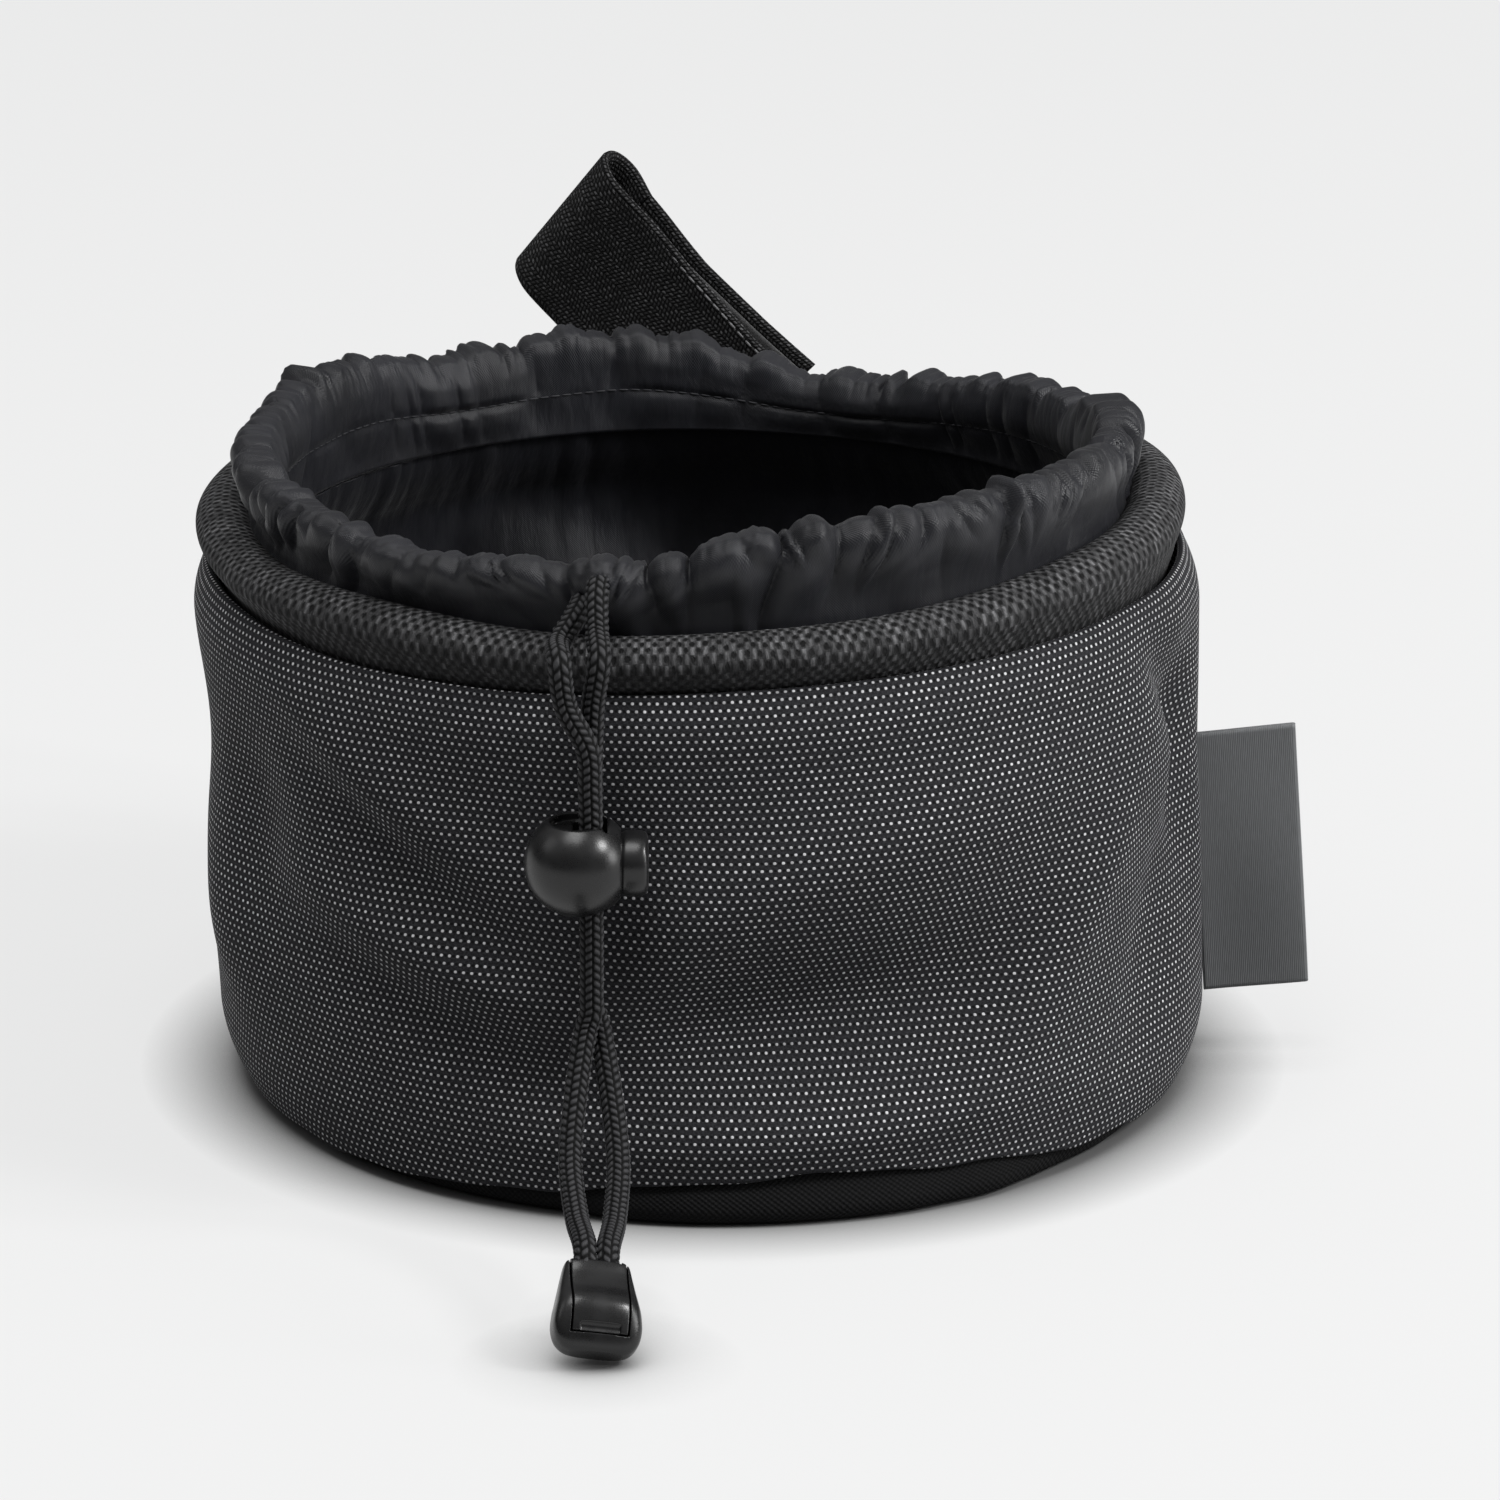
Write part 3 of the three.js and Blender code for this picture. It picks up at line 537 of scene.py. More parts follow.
class Finish:
    """A new material and short ways to wire its nodes."""

    def __init__(self, name):
        self.material = bpy.data.materials.new(name)
        self.material.use_nodes = True
        self.nodes = self.material.node_tree.nodes
        self.links = self.material.node_tree.links
        self.surface = self.nodes["Principled BSDF"]

    def put(self, socket, value):
        if isinstance(value, bpy.types.NodeSocket):
            self.links.new(value, socket)
        else:
            socket.default_value = value

    def math(self, operation, a, b=0.0, c=0.0):
        node = self.nodes.new("ShaderNodeMath")
        node.operation = operation
        for socket, value in zip(node.inputs, (a, b, c)):
            self.put(socket, value)
        return node.outputs[0]

    def add(self, a, b):
        return self.math("ADD", a, b)

    def less(self, a, b):
        return self.math("SUBTRACT", a, b)

    def over(self, a, b):
        return self.math("DIVIDE", a, b)

    def times(self, product, *factors):
        for factor in factors:
            product = self.math("MULTIPLY", product, factor)
        return product

    def wave(self, value, period):
        """A sine of the given period."""
        return self.math("SINE", self.times(value, 2 * math.pi / period))

    def cloth(self):
        """Distances along and up the cloth, in metres."""
        uv = self.nodes.new("ShaderNodeUVMap")
        uv.uv_map = UV_NAME
        split = self.nodes.new("ShaderNodeSeparateXYZ")
        self.links.new(uv.outputs[0], split.inputs[0])
        return uv.outputs[0], split.outputs[0], split.outputs[1]

    def place(self):
        """Position on the piece at rest, in metres."""
        return self.nodes.new("ShaderNodeTexCoord").outputs["Object"]

    def pair(self, x, y):
        node = self.nodes.new("ShaderNodeCombineXYZ")
        self.put(node.inputs[0], x)
        self.put(node.inputs[1], y)
        return node.outputs[0]

    def noise(self, vector, scale, detail=2.0, roughness=0.5):
        node = self.nodes.new("ShaderNodeTexNoise")
        self.links.new(vector, node.inputs["Vector"])
        node.inputs["Scale"].default_value = scale
        node.inputs["Detail"].default_value = detail
        node.inputs["Roughness"].default_value = roughness
        return node.outputs["Fac"]

    def speckle(self, x, y):
        """A steady random number for each cell."""
        node = self.nodes.new("ShaderNodeTexWhiteNoise")
        node.noise_dimensions = "2D"
        self.links.new(self.pair(x, y), node.inputs["Vector"])
        return node.outputs["Value"]

    def ramp(self, value, low, high, to_low=0.0, to_high=1.0, smooth=True):
        node = self.nodes.new("ShaderNodeMapRange")
        node.interpolation_type = "SMOOTHSTEP" if smooth else "LINEAR"
        keys = ("Value", "From Min", "From Max", "To Min", "To Max")
        for key, number in zip(keys, (value, low, high, to_low, to_high)):
            self.put(node.inputs[key], number)
        return node.outputs[0]

    def blend(self, factor, a, b):
        node = self.nodes.new("ShaderNodeMix")
        node.data_type = "RGBA"
        self.put(node.inputs["Factor"], factor)
        self.put(node.inputs["A"], a if isinstance(a, bpy.types.NodeSocket) else (*a, 1.0))
        self.put(node.inputs["B"], b if isinstance(b, bpy.types.NodeSocket) else (*b, 1.0))
        return node.outputs["Result"]

    def tones(self, factor, tone, low, high):
        """From a darker to a paler shade of one tone."""
        return self.blend(factor, shade(tone, low), shade(tone, high))

    def relief(self, height, distance, strength=1.0):
        node = self.nodes.new("ShaderNodeBump")
        node.inputs["Strength"].default_value = strength
        node.inputs["Distance"].default_value = distance
        self.links.new(height, node.inputs["Height"])
        self.links.new(node.outputs[0], self.surface.inputs["Normal"])

    def set(self, **values):
        for key, value in values.items():
            self.put(self.surface.inputs[key.replace("_", " ")], value)
        return self.material


def shade(tone, factor):
    return tuple(c * factor for c in tone)


def dotted_fabric(look):
    """Charcoal ground with staggered pale floats and a sunken pit beside each, the pit darkened as painted
    shade.
    """
    f = Finish("dotted_fabric")
    uv, u, v = f.cloth()
    row = f.over(v, look.dot_row)
    row_id = f.math("FLOOR", row)
    stagger = f.times(f.math("PINGPONG", row_id, 1.0), 0.5)
    col = f.add(f.over(u, look.dot_pitch), stagger)
    x = f.times(f.less(f.math("FRACT", col), 0.5), look.dot_pitch)
    y = f.times(f.less(f.math("FRACT", row), 0.5), look.dot_row)
    half = look.dot_size / 2

    def spot(dx, dy, wide, high):
        a = f.math("POWER", f.math("ABSOLUTE", f.over(dx, wide)), 2.6)
        b = f.math("POWER", f.math("ABSOLUTE", f.over(dy, high)), 2.6)
        return f.ramp(f.add(a, b), 1.5, 0.35)

    dot = spot(x, y, half, half * 0.86)
    beside = f.less(look.dot_pitch / 2, f.math("ABSOLUTE", x))
    shaded_pit = spot(beside, y, half * 0.95, half * 0.8)
    random = f.speckle(f.math("FLOOR", col), row_id)
    cloudy = f.noise(uv, 90.0, 2.0)
    bright = f.ramp(random, 0.0, 1.0, 0.5, 1.0, False)
    bright = f.times(bright, f.ramp(cloudy, 0.3, 0.7, 0.92, 1.0))
    fine = f.noise(uv, 2600.0, 2.0, 0.7)
    ground = f.tones(f.ramp(fine, 0.3, 0.7), look.ground, 0.45, 1.55)
    # painted shade: each pit is darkened to a shadow tone of the ground
    ground = f.blend(shaded_pit, ground, shade(look.ground, 0.12))
    tone = f.blend(f.times(dot, bright), ground, tuple(look.dot))
    height = f.less(f.add(dot, f.times(fine, 0.3)), shaded_pit)
    f.relief(height, 0.12 * MM, 0.7)
    return f.set(
        Base_Color=tone,
        Roughness=f.ramp(dot, 0.0, 1.0, 0.8, 0.45),
        Specular_IOR_Level=0.18,
    )


def woven_tape(name, tone, yarn, chevron=0.0, depth=0.3):
    """Plain or chevron weave of thick yarns, the gaps between them darkened as painted shade."""
    f = Finish(name)
    uv, u, v = f.cloth()
    wobble = f.times(f.less(f.noise(uv, 160.0, 1.0), 0.5), yarn * 0.9)
    a = f.over(f.add(u, wobble), yarn)
    b = f.over(v, yarn)
    if chevron:
        b = f.add(b, f.math("PINGPONG", f.times(a, 0.5), chevron))
    ia, ib = f.math("FLOOR", a), f.math("FLOOR", b)
    wave_a = f.math("SINE", f.times(f.math("FRACT", a), math.pi))
    wave_b = f.math("SINE", f.times(f.math("FRACT", b), math.pi))
    warp = f.times(wave_a, f.math("POWER", wave_b, 0.4))
    weft = f.times(f.math("POWER", wave_b, 0.9), f.math("POWER", wave_a, 0.45))
    over = f.math("PINGPONG", f.add(ia, ib), 1.0)
    lift = f.add(f.times(warp, over), f.times(weft, f.less(1.0, over)))
    fibre = f.noise(uv, 3200.0, 2.0, 0.7)
    random = f.speckle(ia, ib)
    # painted shade: the tone falls almost to black where the yarns dip into the gaps
    strength = f.times(
        f.ramp(lift, 0.35, 0.98),
        f.ramp(random, 0.0, 1.0, 0.55, 1.0, False),
        f.ramp(over, 0.0, 1.0, 0.38, 1.0, False),
        f.ramp(fibre, 0.25, 0.75, 0.6, 1.0),
        f.ramp(f.noise(uv, 320.0, 1.0), 0.3, 0.7, 0.55, 1.0),
    )
    height = f.add(lift, f.times(fibre, 0.18))
    f.relief(height, depth * MM, 1.0)
    return f.set(
        Base_Color=f.tones(strength, tone, 0.04, 1.3),
        Roughness=f.ramp(lift, 0.2, 1.0, 0.9, 0.65),
        Specular_IOR_Level=0.15,
    )


def mesh_tape(name, tone, yarn):
    """Thick soft tape: pale upright floats between staggered pits, with the pits and the lower part of the
    roll darkened as painted shade.
    """
    f = Finish(name)
    uv, u, v = f.cloth()
    wobble = f.times(f.less(f.noise(uv, 130.0, 2.0), 0.5), yarn * 0.7)
    row = f.over(f.add(v, wobble), yarn * 0.54)
    row_id = f.math("FLOOR", row)
    stagger = f.times(f.math("PINGPONG", row_id, 1.0), 0.5)
    col = f.add(f.over(f.add(u, wobble), yarn), stagger)
    x = f.less(f.math("FRACT", col), 0.5)
    y = f.less(f.math("FRACT", row), 0.5)
    wide = f.math("POWER", f.math("ABSOLUTE", f.times(x, 4.6)), 2.0)
    tall = f.math("POWER", f.math("ABSOLUTE", f.times(y, 2.7)), 2.0)
    # roll runs from 0 low on the band to 1 on its upper part; lower down the pits fade out and the tape is
    # painted darker, as painted shade under the roll
    roll = f.ramp(v, 8.0 * MM, 13.0 * MM)
    fibre = f.noise(f.pair(u, f.times(v, 0.6)), 1900.0, 3.0, 0.75)
    ragged = f.add(f.add(wide, tall), f.ramp(fibre, 0.2, 0.8, -0.7, 0.7, False))
    shaded_pit = f.times(f.ramp(ragged, 1.5, 0.2), f.ramp(roll, 0.0, 1.0, 0.45, 1.0))
    float_yarn = f.ramp(f.math("ABSOLUTE", x), 0.24, 0.46)
    random = f.speckle(f.math("FLOOR", f.add(col, 0.5)), row_id)
    # painted shade: the pits and the lower part of the roll are darkened
    strength = f.times(
        f.add(0.30, f.times(float_yarn, f.ramp(random, 0.0, 1.0, 0.1, 0.8, False))),
        f.ramp(roll, 0.0, 1.0, 0.7, 1.0),
        f.ramp(fibre, 0.3, 0.7, 0.35, 1.1),
        f.ramp(f.noise(uv, 260.0, 1.0), 0.3, 0.7, 0.65, 1.0),
        f.less(1.0, f.times(shaded_pit, 0.92)),
    )
    height = f.less(f.add(float_yarn, f.times(fibre, 0.7)), f.times(shaded_pit, 1.2))
    f.relief(height, 0.22 * MM, 1.0)
    return f.set(
        Base_Color=f.tones(strength, tone, 0.03, 1.2),
        Roughness=f.ramp(shaded_pit, 0.0, 1.0, 0.7, 0.95),
        Specular_IOR_Level=0.15,
    )


def taffeta(name, tone, crinkle):
    """Smooth thin lining cloth with a soft sheen and fine crinkles."""
    f = Finish(name)
    uv, u, v = f.cloth()
    thread = f.times(f.wave(u, 0.42 * MM), f.wave(v, 0.42 * MM))
    stretched = f.pair(u, f.times(v, 0.35))
    crease = f.noise(stretched, 420.0, 3.0, 0.55)
    patch = f.noise(uv, 60.0, 2.0)
    height = f.add(f.times(thread, 0.03), f.times(crease, crinkle))
    f.relief(height, 0.9 * MM, 0.9)
    return f.set(
        Base_Color=f.tones(f.ramp(patch, 0.3, 0.7), tone, 0.8, 1.25),
        Roughness=f.ramp(crease, 0.3, 0.7, 0.36, 0.5),
        Specular_IOR_Level=0.36,
        Sheen_Weight=0.1,
        Sheen_Roughness=0.35,
    )


def plain_fabric(look):
    """Coarse black cloth of the base."""
    f = Finish("plain_fabric")
    uv, u, v = f.cloth()
    weave = f.times(f.wave(u, 0.8 * MM), f.wave(v, 0.8 * MM))
    fibre = f.noise(uv, 1800.0, 2.0, 0.7)
    f.relief(f.add(weave, fibre), 0.12 * MM, 0.8)
    tone = f.tones(f.ramp(weave, -1.0, 1.0), look.base, 0.55, 1.3)
    return f.set(Base_Color=tone, Roughness=f.ramp(fibre, 0.2, 0.8, 0.8, 0.95), Specular_IOR_Level=0.12)


def braid_yarn(look):
    """Cord yarn, painted darker down between its stitches as painted shade."""
    f = Finish("cord_braid")
    attribute = f.nodes.new("ShaderNodeAttribute")
    attribute.attribute_name = "relief"
    lift = attribute.outputs["Fac"]
    strand = f.noise(f.cloth()[0], 5200.0, 2.0, 0.7)
    f.relief(strand, 0.05 * MM, 0.7)
    # painted shade: low relief between the stitches is darkened almost to black
    tone = f.tones(f.ramp(lift, 0.45, 0.98), look.braid, 0.05, 1.3)
    tone = f.blend(f.ramp(strand, 0.35, 0.75, 0.0, 0.45), tone, shade(look.braid, 0.35))
    return f.set(
        Base_Color=tone,
        Roughness=f.ramp(lift, 0.0, 1.0, 0.85, 0.55),
        Specular_IOR_Level=0.2,
    )


def moulded_plastic(look):
    """Satin black plastic with a fine spark texture."""
    f = Finish("black_plastic")
    place = f.place()
    spark = f.noise(place, 5200.0, 2.0, 0.6)
    cloud = f.noise(place, 260.0, 2.0)
    f.relief(spark, 0.012 * MM, 0.5)
    tone = f.tones(f.ramp(cloud, 0.3, 0.7), look.plastic, 0.85, 1.2)
    return f.set(
        Base_Color=tone,
        Roughness=f.ramp(f.add(spark, cloud), 0.7, 1.3, 0.25, 0.35),
        Specular_IOR_Level=0.5,
    )


def drawn_steel(look):
    """Bright wire with faint drawing marks."""
    f = Finish("spring_steel")
    mark = f.noise(f.place(), 2400.0, 3.0, 0.6)
    f.relief(mark, 0.01 * MM, 0.5)
    tone = f.tones(f.ramp(mark, 0.3, 0.7), look.steel, 0.8, 1.0)
    return f.set(Base_Color=tone, Metallic=1.0, Roughness=f.ramp(mark, 0.3, 0.7, 0.25, 0.4))


def grey_board(look):
    """Pressed fibre board of the base stiffener."""
    f = Finish("base_board")
    fibre = f.noise(f.place(), 900.0, 4.0, 0.7)
    f.relief(fibre, 0.1 * MM, 0.6)
    tone = f.tones(f.ramp(fibre, 0.3, 0.7), look.board, 0.7, 1.2)
    return f.set(Base_Color=tone, Roughness=f.ramp(fibre, 0.2, 0.8, 0.75, 0.95))


def tag_satin(look):
    """Fine ribbed satin of the side tag."""
    f = Finish("tag_fabric")
    uv, u, v = f.cloth()
    rib = f.wave(v, 0.32 * MM)
    slub = f.noise(f.pair(u, f.times(v, 9.0)), 420.0, 2.0, 0.6)
    height = f.add(f.times(rib, 0.5), slub)
    f.relief(height, 0.06 * MM, 0.6)
    pale = f.ramp(f.add(slub, f.times(rib, 0.12)), 0.3, 0.75)
    return f.set(
        Base_Color=f.tones(pale, look.tag, 0.86, 1.14),
        Roughness=f.ramp(slub, 0.2, 0.8, 0.46, 0.6),
        Sheen_Weight=0.25,
        Sheen_Roughness=0.4,
    )


def hook_pile(look):
    """Dense black pile of the hook and loop patches."""
    f = Finish("hook_and_loop")
    pile = f.noise(f.cloth()[0], 1500.0, 3.0, 0.8)
    f.relief(pile, 0.5 * MM, 1.0)
    return f.set(
        Base_Color=f.tones(f.ramp(pile, 0.35, 0.75), look.patch, 0.4, 2.2),
        Roughness=f.ramp(pile, 0.2, 0.8, 0.8, 0.95),
        Sheen_Weight=0.3,
        Sheen_Roughness=0.6,
    )


def sewing_thread(tone):
    """Twisted thread."""
    f = Finish("sewing_thread")
    twist = f.noise(f.place(), 6000.0, 2.0, 0.7)
    f.relief(twist, 0.04 * MM, 0.6)
    body = f.tones(f.ramp(twist, 0.3, 0.7), tone, 0.6, 1.15)
    return f.set(Base_Color=body, Roughness=f.ramp(twist, 0.2, 0.8, 0.55, 0.75))


FINISHES = {}


def finish(name, make, *values):
    """One shared material of each kind, made when a piece first needs it."""
    if name not in FINISHES:
        FINISHES[name] = make(*values)
    return FINISHES[name]


# Cords


CORD_SIDES = 48
BRAID_COLUMNS = 8
BRAID_SLANT = 0.55
CHANNEL_DROP = 4.2 * MM
ROUTE_STEPS = 2400
CORD_STEP = 0.16 * MM
SEW_GAP = 0.3 * MM
TAILS = (("right", 1), ("left", -1))
EXIT_ANGLE = math.radians(-13.5)
EXIT_BEND = 6.4 * MM
TAIL_PITCH = 3.5 * MM
TAIL_DROP_GAP = 5.8 * MM
TAIL_SINK = {1: 0.2 * MM, -1: 4.6 * MM}
TAIL_SWAY = {1: -1.6 * MM, -1: -1.9 * MM}
TAIL_PART = 0.012
TAIL_SAG = 7.0 * MM
TAIL_ENTRY = 2.0 * MM
TAIL_TURN = 7.0 * MM
TAIL_SPREAD = [
    # share of the way from the lock's range to the cord end, turn of the pair in degrees and spacing
    (0.0, 65, 1.25),
    (0.2, 35, 1.8),
    (0.45, 10, 2.2),
    (0.75, 0, 1.7),
]
TAIL_ABOVE = 1.7
TAIL_BELOW = 2
LOCK_HEIGHT = 65.4 * MM
LOCK_SIDE = -18.4 * MM
LOCK_SLIDE = 14.0 * MM
TAIL_CLOSE = [
    # height over the top of the lock's range, turn of the pair in degrees, spacing and share of the sway
    (TAIL_TURN, 12, 1.75, 1.0),
    (0.0, 30, 1.35, 1.0),
    (-LOCK_SLIDE / 2, 80, 1.0, 0.12),
    (-LOCK_SLIDE, 88, 1.0, 0.05),
]
LOCK_FIT = 0.2 * MM
BORE_PAST = 3.3 * MM
BALL_VOXEL = 0.13 * MM
BUTTON_VOXEL = 0.12 * MM
BUTTON_PROUD = 11.0 * MM
BUTTON_ROUND = 1.0 * MM
BUTTON_GROOVE = 0.25 * MM
BUTTON_SLACK = 0.05 * MM
MOUTH_RADIUS = 4.5 * MM
MOUTH_DEEP = 1.3 * MM
SPRING_WIRE = 0.5 * MM
SPRING_TURNS = 3.25
SPRING_STEPS = 240
SPRING_SIDES = 12
BUTTON_TRAVEL = 2.0 * MM
LOCK_CORD_OFFSET = 2.0 * MM
END_TOP = np.array([-17.2, -134.0, 13.4]) * MM
END_PITCH = math.radians(43)
END_ROLL = math.radians(14)
END_GRIP = 8.0 * MM


def lock_centre(size):
    """Middle of the ball, in front of the wall."""
    reach = WALL_RADIUS + TAIL_DROP_GAP + size + SEW_GAP
    return np.array([LOCK_SIDE - LOCK_CORD_OFFSET, -math.sqrt(reach**2 - LOCK_SIDE**2), LOCK_HEIGHT])


def end_matrix():
    """Frame of the cord end: width, length from the neck to the foot, depth to the back."""
    down = (0, -math.cos(END_PITCH), -math.sin(END_PITCH))
    level = np.cross((1, 0, 0), down)
    wide = np.array([math.cos(END_ROLL), 0, 0]) + math.sin(END_ROLL) * level
    columns = np.column_stack([wide, down, np.cross(wide, down), END_TOP])
    return np.vstack([columns, (0, 0, 0, 1)])


def in_end(across, along):
    return (end_matrix() @ np.array([across, along, 0, 1]))[:3]


def tail_route(side, look):
    """Course of one tail: out of the channel, over the rim, through the lock and into the cord end."""
    size = look.size
    half_turn = TAIL_PITCH / 2 / CORD_RING
    start = EXIT_ANGLE + side * (half_turn + (EXIT_BEND - SEW_GAP) / CORD_RING)
    over = EXIT_ANGLE + side * half_turn
    lock = lock_centre(size)
    bend = []
    for turn in np.linspace(0, np.pi / 2, 6):
        reach = CORD_RING + CORD_SEAT * math.cos(turn) + EXIT_BEND * (1 - math.cos(turn))
        place = start - side * EXIT_BEND * math.sin(turn) / CORD_RING
        bend.append(around(reach, place, CORD_HEIGHT - TAIL_SINK[side]))

    def hang(z, turn, pitch=TAIL_PITCH, sway=0.0):
        apart = np.array([math.cos(math.radians(turn)), math.sin(math.radians(turn)), 0])
        return np.array([LOCK_SIDE + sway * TAIL_SWAY[side], lock[1], z]) + apart * side * pitch / 2

    high = LOCK_HEIGHT + look.ball_flat + LOCK_SLIDE + TAIL_ABOVE * size
    low = LOCK_HEIGHT - look.ball_flat - LOCK_SLIDE - TAIL_BELOW * size
    brow = CORD_HEIGHT - 2 * size - TAIL_SINK[side] / 2
    points = [
        *bend,
        around(WALL_RADIUS - size / 2, over, CORD_HEIGHT - size / 2 - TAIL_SINK[side]),
        around(WALL_RADIUS + TAIL_DROP_GAP / 2, over + side * TAIL_PART, brow),
    ]
    for step, turn, wide, sway in TAIL_CLOSE:
        points.append(hang(high + step, turn, wide * TAIL_PITCH, sway))
    for z in (LOCK_HEIGHT, low + 1.5 * size, low + size):
        points.append(hang(z, 90))
    for part, turn, wide in TAIL_SPREAD:
        neck = in_end(side * wide * TAIL_PITCH / 2, -TAIL_ENTRY)
        point = hang(low, turn, wide * TAIL_PITCH) * (1 - part) + neck * part
        sag = math.sin(math.pi * part)
        points.append(point + np.array([0, TAIL_SAG / 3, -TAIL_SAG]) * sag)
    points += [in_end(side * TAIL_PITCH / 2, along) for along in (-TAIL_ENTRY, END_GRIP / 2, END_GRIP)]
    return np.array(points)


def braided_cord(name, line, look):
    """A cord of two sets of yarns that cross over and under each other."""
    along = run(line)
    side, out = turned_frames(line)
    turn = np.linspace(0, 2 * np.pi, CORD_SIDES + 1)
    lay = BRAID_COLUMNS * turn[None, :] / (2 * np.pi)
    column = np.floor(lay) % 2
    across = lay % 1.0 - 0.5
    slant = np.where(column > 0.5, BRAID_SLANT, -BRAID_SLANT)
    beat = along[:, None] / look.stitch + slant * across + column / 2
    bead = np.abs(np.cos(np.pi * (beat % 1.0 - 0.5)))
    lift = np.sqrt(np.clip(1 - (2 * across) ** 4, 0, 1)) * bead**0.7
    radius = look.plump / 2 - look.relief * (1 - lift)
    points = line[:, None] + radius[..., None] * (
        side[:, None] * np.cos(turn)[None, :, None] + out[:, None] * np.sin(turn)[None, :, None]
    )
    uv = joined(turn[None, :] * look.size / 2, along[:, None])
    yarn = finish("cord_braid", braid_yarn, look)
    piece = mesh_piece(name, points[:, :-1], uv, yarn, wrap_cols=True, capped=True)
    # the relief attribute tells the cord's material where to paint shade between the stitches
    attribute = piece.data.attributes.new("relief", "FLOAT", "POINT")
    attribute.data.foreach_set("value", lift[:, :-1].astype(np.float32).ravel())
    return piece


class PEGBAG_OT_cords(bpy.types.Operator):
    """Build the drawcord: the loop in its channel and the two tails"""

    bl_idname = "pegbag.cords"
    bl_label = "Drawcord"

    def execute(self, context):
        look = context.scene.peg_bag.cord
        half_turn = (TAIL_PITCH / 2 + EXIT_BEND) / CORD_RING
        turn = np.linspace(EXIT_ANGLE + half_turn, EXIT_ANGLE - half_turn + 2 * np.pi, 720)
        ring = CORD_RING + CORD_SEAT - collar_draw(turn)
        channel = lean(around(ring, turn, rim_height(turn) - CHANNEL_DROP), 0, 0)
        loop = braided_cord("drawcord_in_channel", evened(channel, 0.4 * MM), look)
        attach(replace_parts(loop, "drawcord_loop"), "bag")
        for word, side in TAILS:
            line = evened(through(tail_route(side, look), ROUTE_STEPS), CORD_STEP)
            tail = braided_cord("drawcord_tail_" + word + "_braid", line, look)
            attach(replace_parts(tail, "drawcord_tail_" + word), "bag")
        return {"FINISHED"}


def declare_tails(context):
    """Measure the course of each of the two tails, once the pieces on them exist; the lengths are not kept.
    """
    look = context.scene.peg_bag.cord
    for word, side in TAILS:
        line = evened(through(tail_route(side, look), ROUTE_STEPS), MM)
        float(run(line)[-1])


# Drum


WALL_COLUMNS = 480
WALL_ROWS = 96
FOOT_RIPPLE = 0.35
FOOT_ROUND = 14.0 * MM
SHOULDER = 9.0 * MM
SHOULDER_DRAW = 2.6 * MM
WALL_FOOT = [
    # angle from the front, height of the wall's lower edge and how far it tucks in, in mm
    (-150, 2.6, 5.0),
    (-85, 2.6, 5.0),
    (-60, 2.4, 4.0),
    (-42, 2.6, 1.8),
    (-28, 3.6, 0.9),
    (-12, 6.0, 0.6),
    (0, 7.8, 0.6),
    (12, 8.8, 0.7),
    (26, 7.6, 1.2),
    (42, 4.8, 2.4),
    (60, 2.6, 4.4),
    (85, 2.6, 5.0),
    (140, 2.6, 5.0),
]
HEM_COURSE = [
    # angle from the front and rise of the wall's top, in mm
    (-160, 0.0),
    (-125, 1.6),
    (-92, 3.4),
    (-70, 2.6),
    (-45, 0.6),
    (-20, 0.3),
    (5, 1.0),
    (60, 1.0),
    (150, 0.0),
]
BASE_BULGE = 1.9 * MM
BASE_LIP = 4 * MM
BASE_THICK = 1.4 * MM
BASE_LIFT = 0.75 * MM
BASE_STITCHES = 150
BASE_SEAM = 15.0 * MM
BASE_SEWING = (0.4 * MM, 2.5 * MM, 0.05 * MM)
BASE_CORNER = 3.0 * MM
BASE_GAP = 0.4 * MM
HUB = 0.5 * MM
RING_COLUMNS = 420
BAND_PRESS = 0.27
BAND_ROOT = 2.0 * MM
LINING_PATH = [
    # radius and height of the lining, in mm, from under the rim down to the base
    (73.2, 91.0),
    (74.0, 88.4),
    (75.4, 85.4),
    (77.4, 82.4),
    (79.6, 79.0),
    (80.8, 72.0),
    (80.7, 45.0),
    (80.5, 20.0),
    (80.2, 11.0),
    (78.9, 6.6),
    (77.6, 5.6),
]
LINING_THICK = 0.5 * MM
FLOOR_THICK = 0.4 * MM
FLOOR_EDGE = 77.4 * MM


def hem_rise(angle):
    """How much higher than its nominal top the wall stands, at the sides."""
    return round_knots(HEM_COURSE, angle) * MM


def wall_radius(z, angle):
    """Outer radius of the wall: a slight taper, a rounded foot and a shoulder drawn in to the band."""
    taper = BASE_RADIUS + (WALL_RADIUS - BASE_RADIUS) * np.clip(z / WALL_TOP, 0, 1)
    foot = np.clip((FOOT_ROUND - z) / FOOT_ROUND, 0, 1.2)
    tuck = round_knots([(k[0], k[2]) for k in WALL_FOOT], angle) * MM
    shoulder = np.clip((z - WALL_TOP - hem_rise(angle) + SHOULDER) / SHOULDER, 0, 1)
    return taper - tuck * foot**2 - SHOULDER_DRAW * shoulder**2


def wall_foot(angle):
    """Height of the wall's lower edge, which shows the base in front and hides it elsewhere."""
    return (round_knots(WALL_FOOT, angle) + FOOT_RIPPLE * waves(angle, seed=6, low=7, high=34, count=6)) * MM


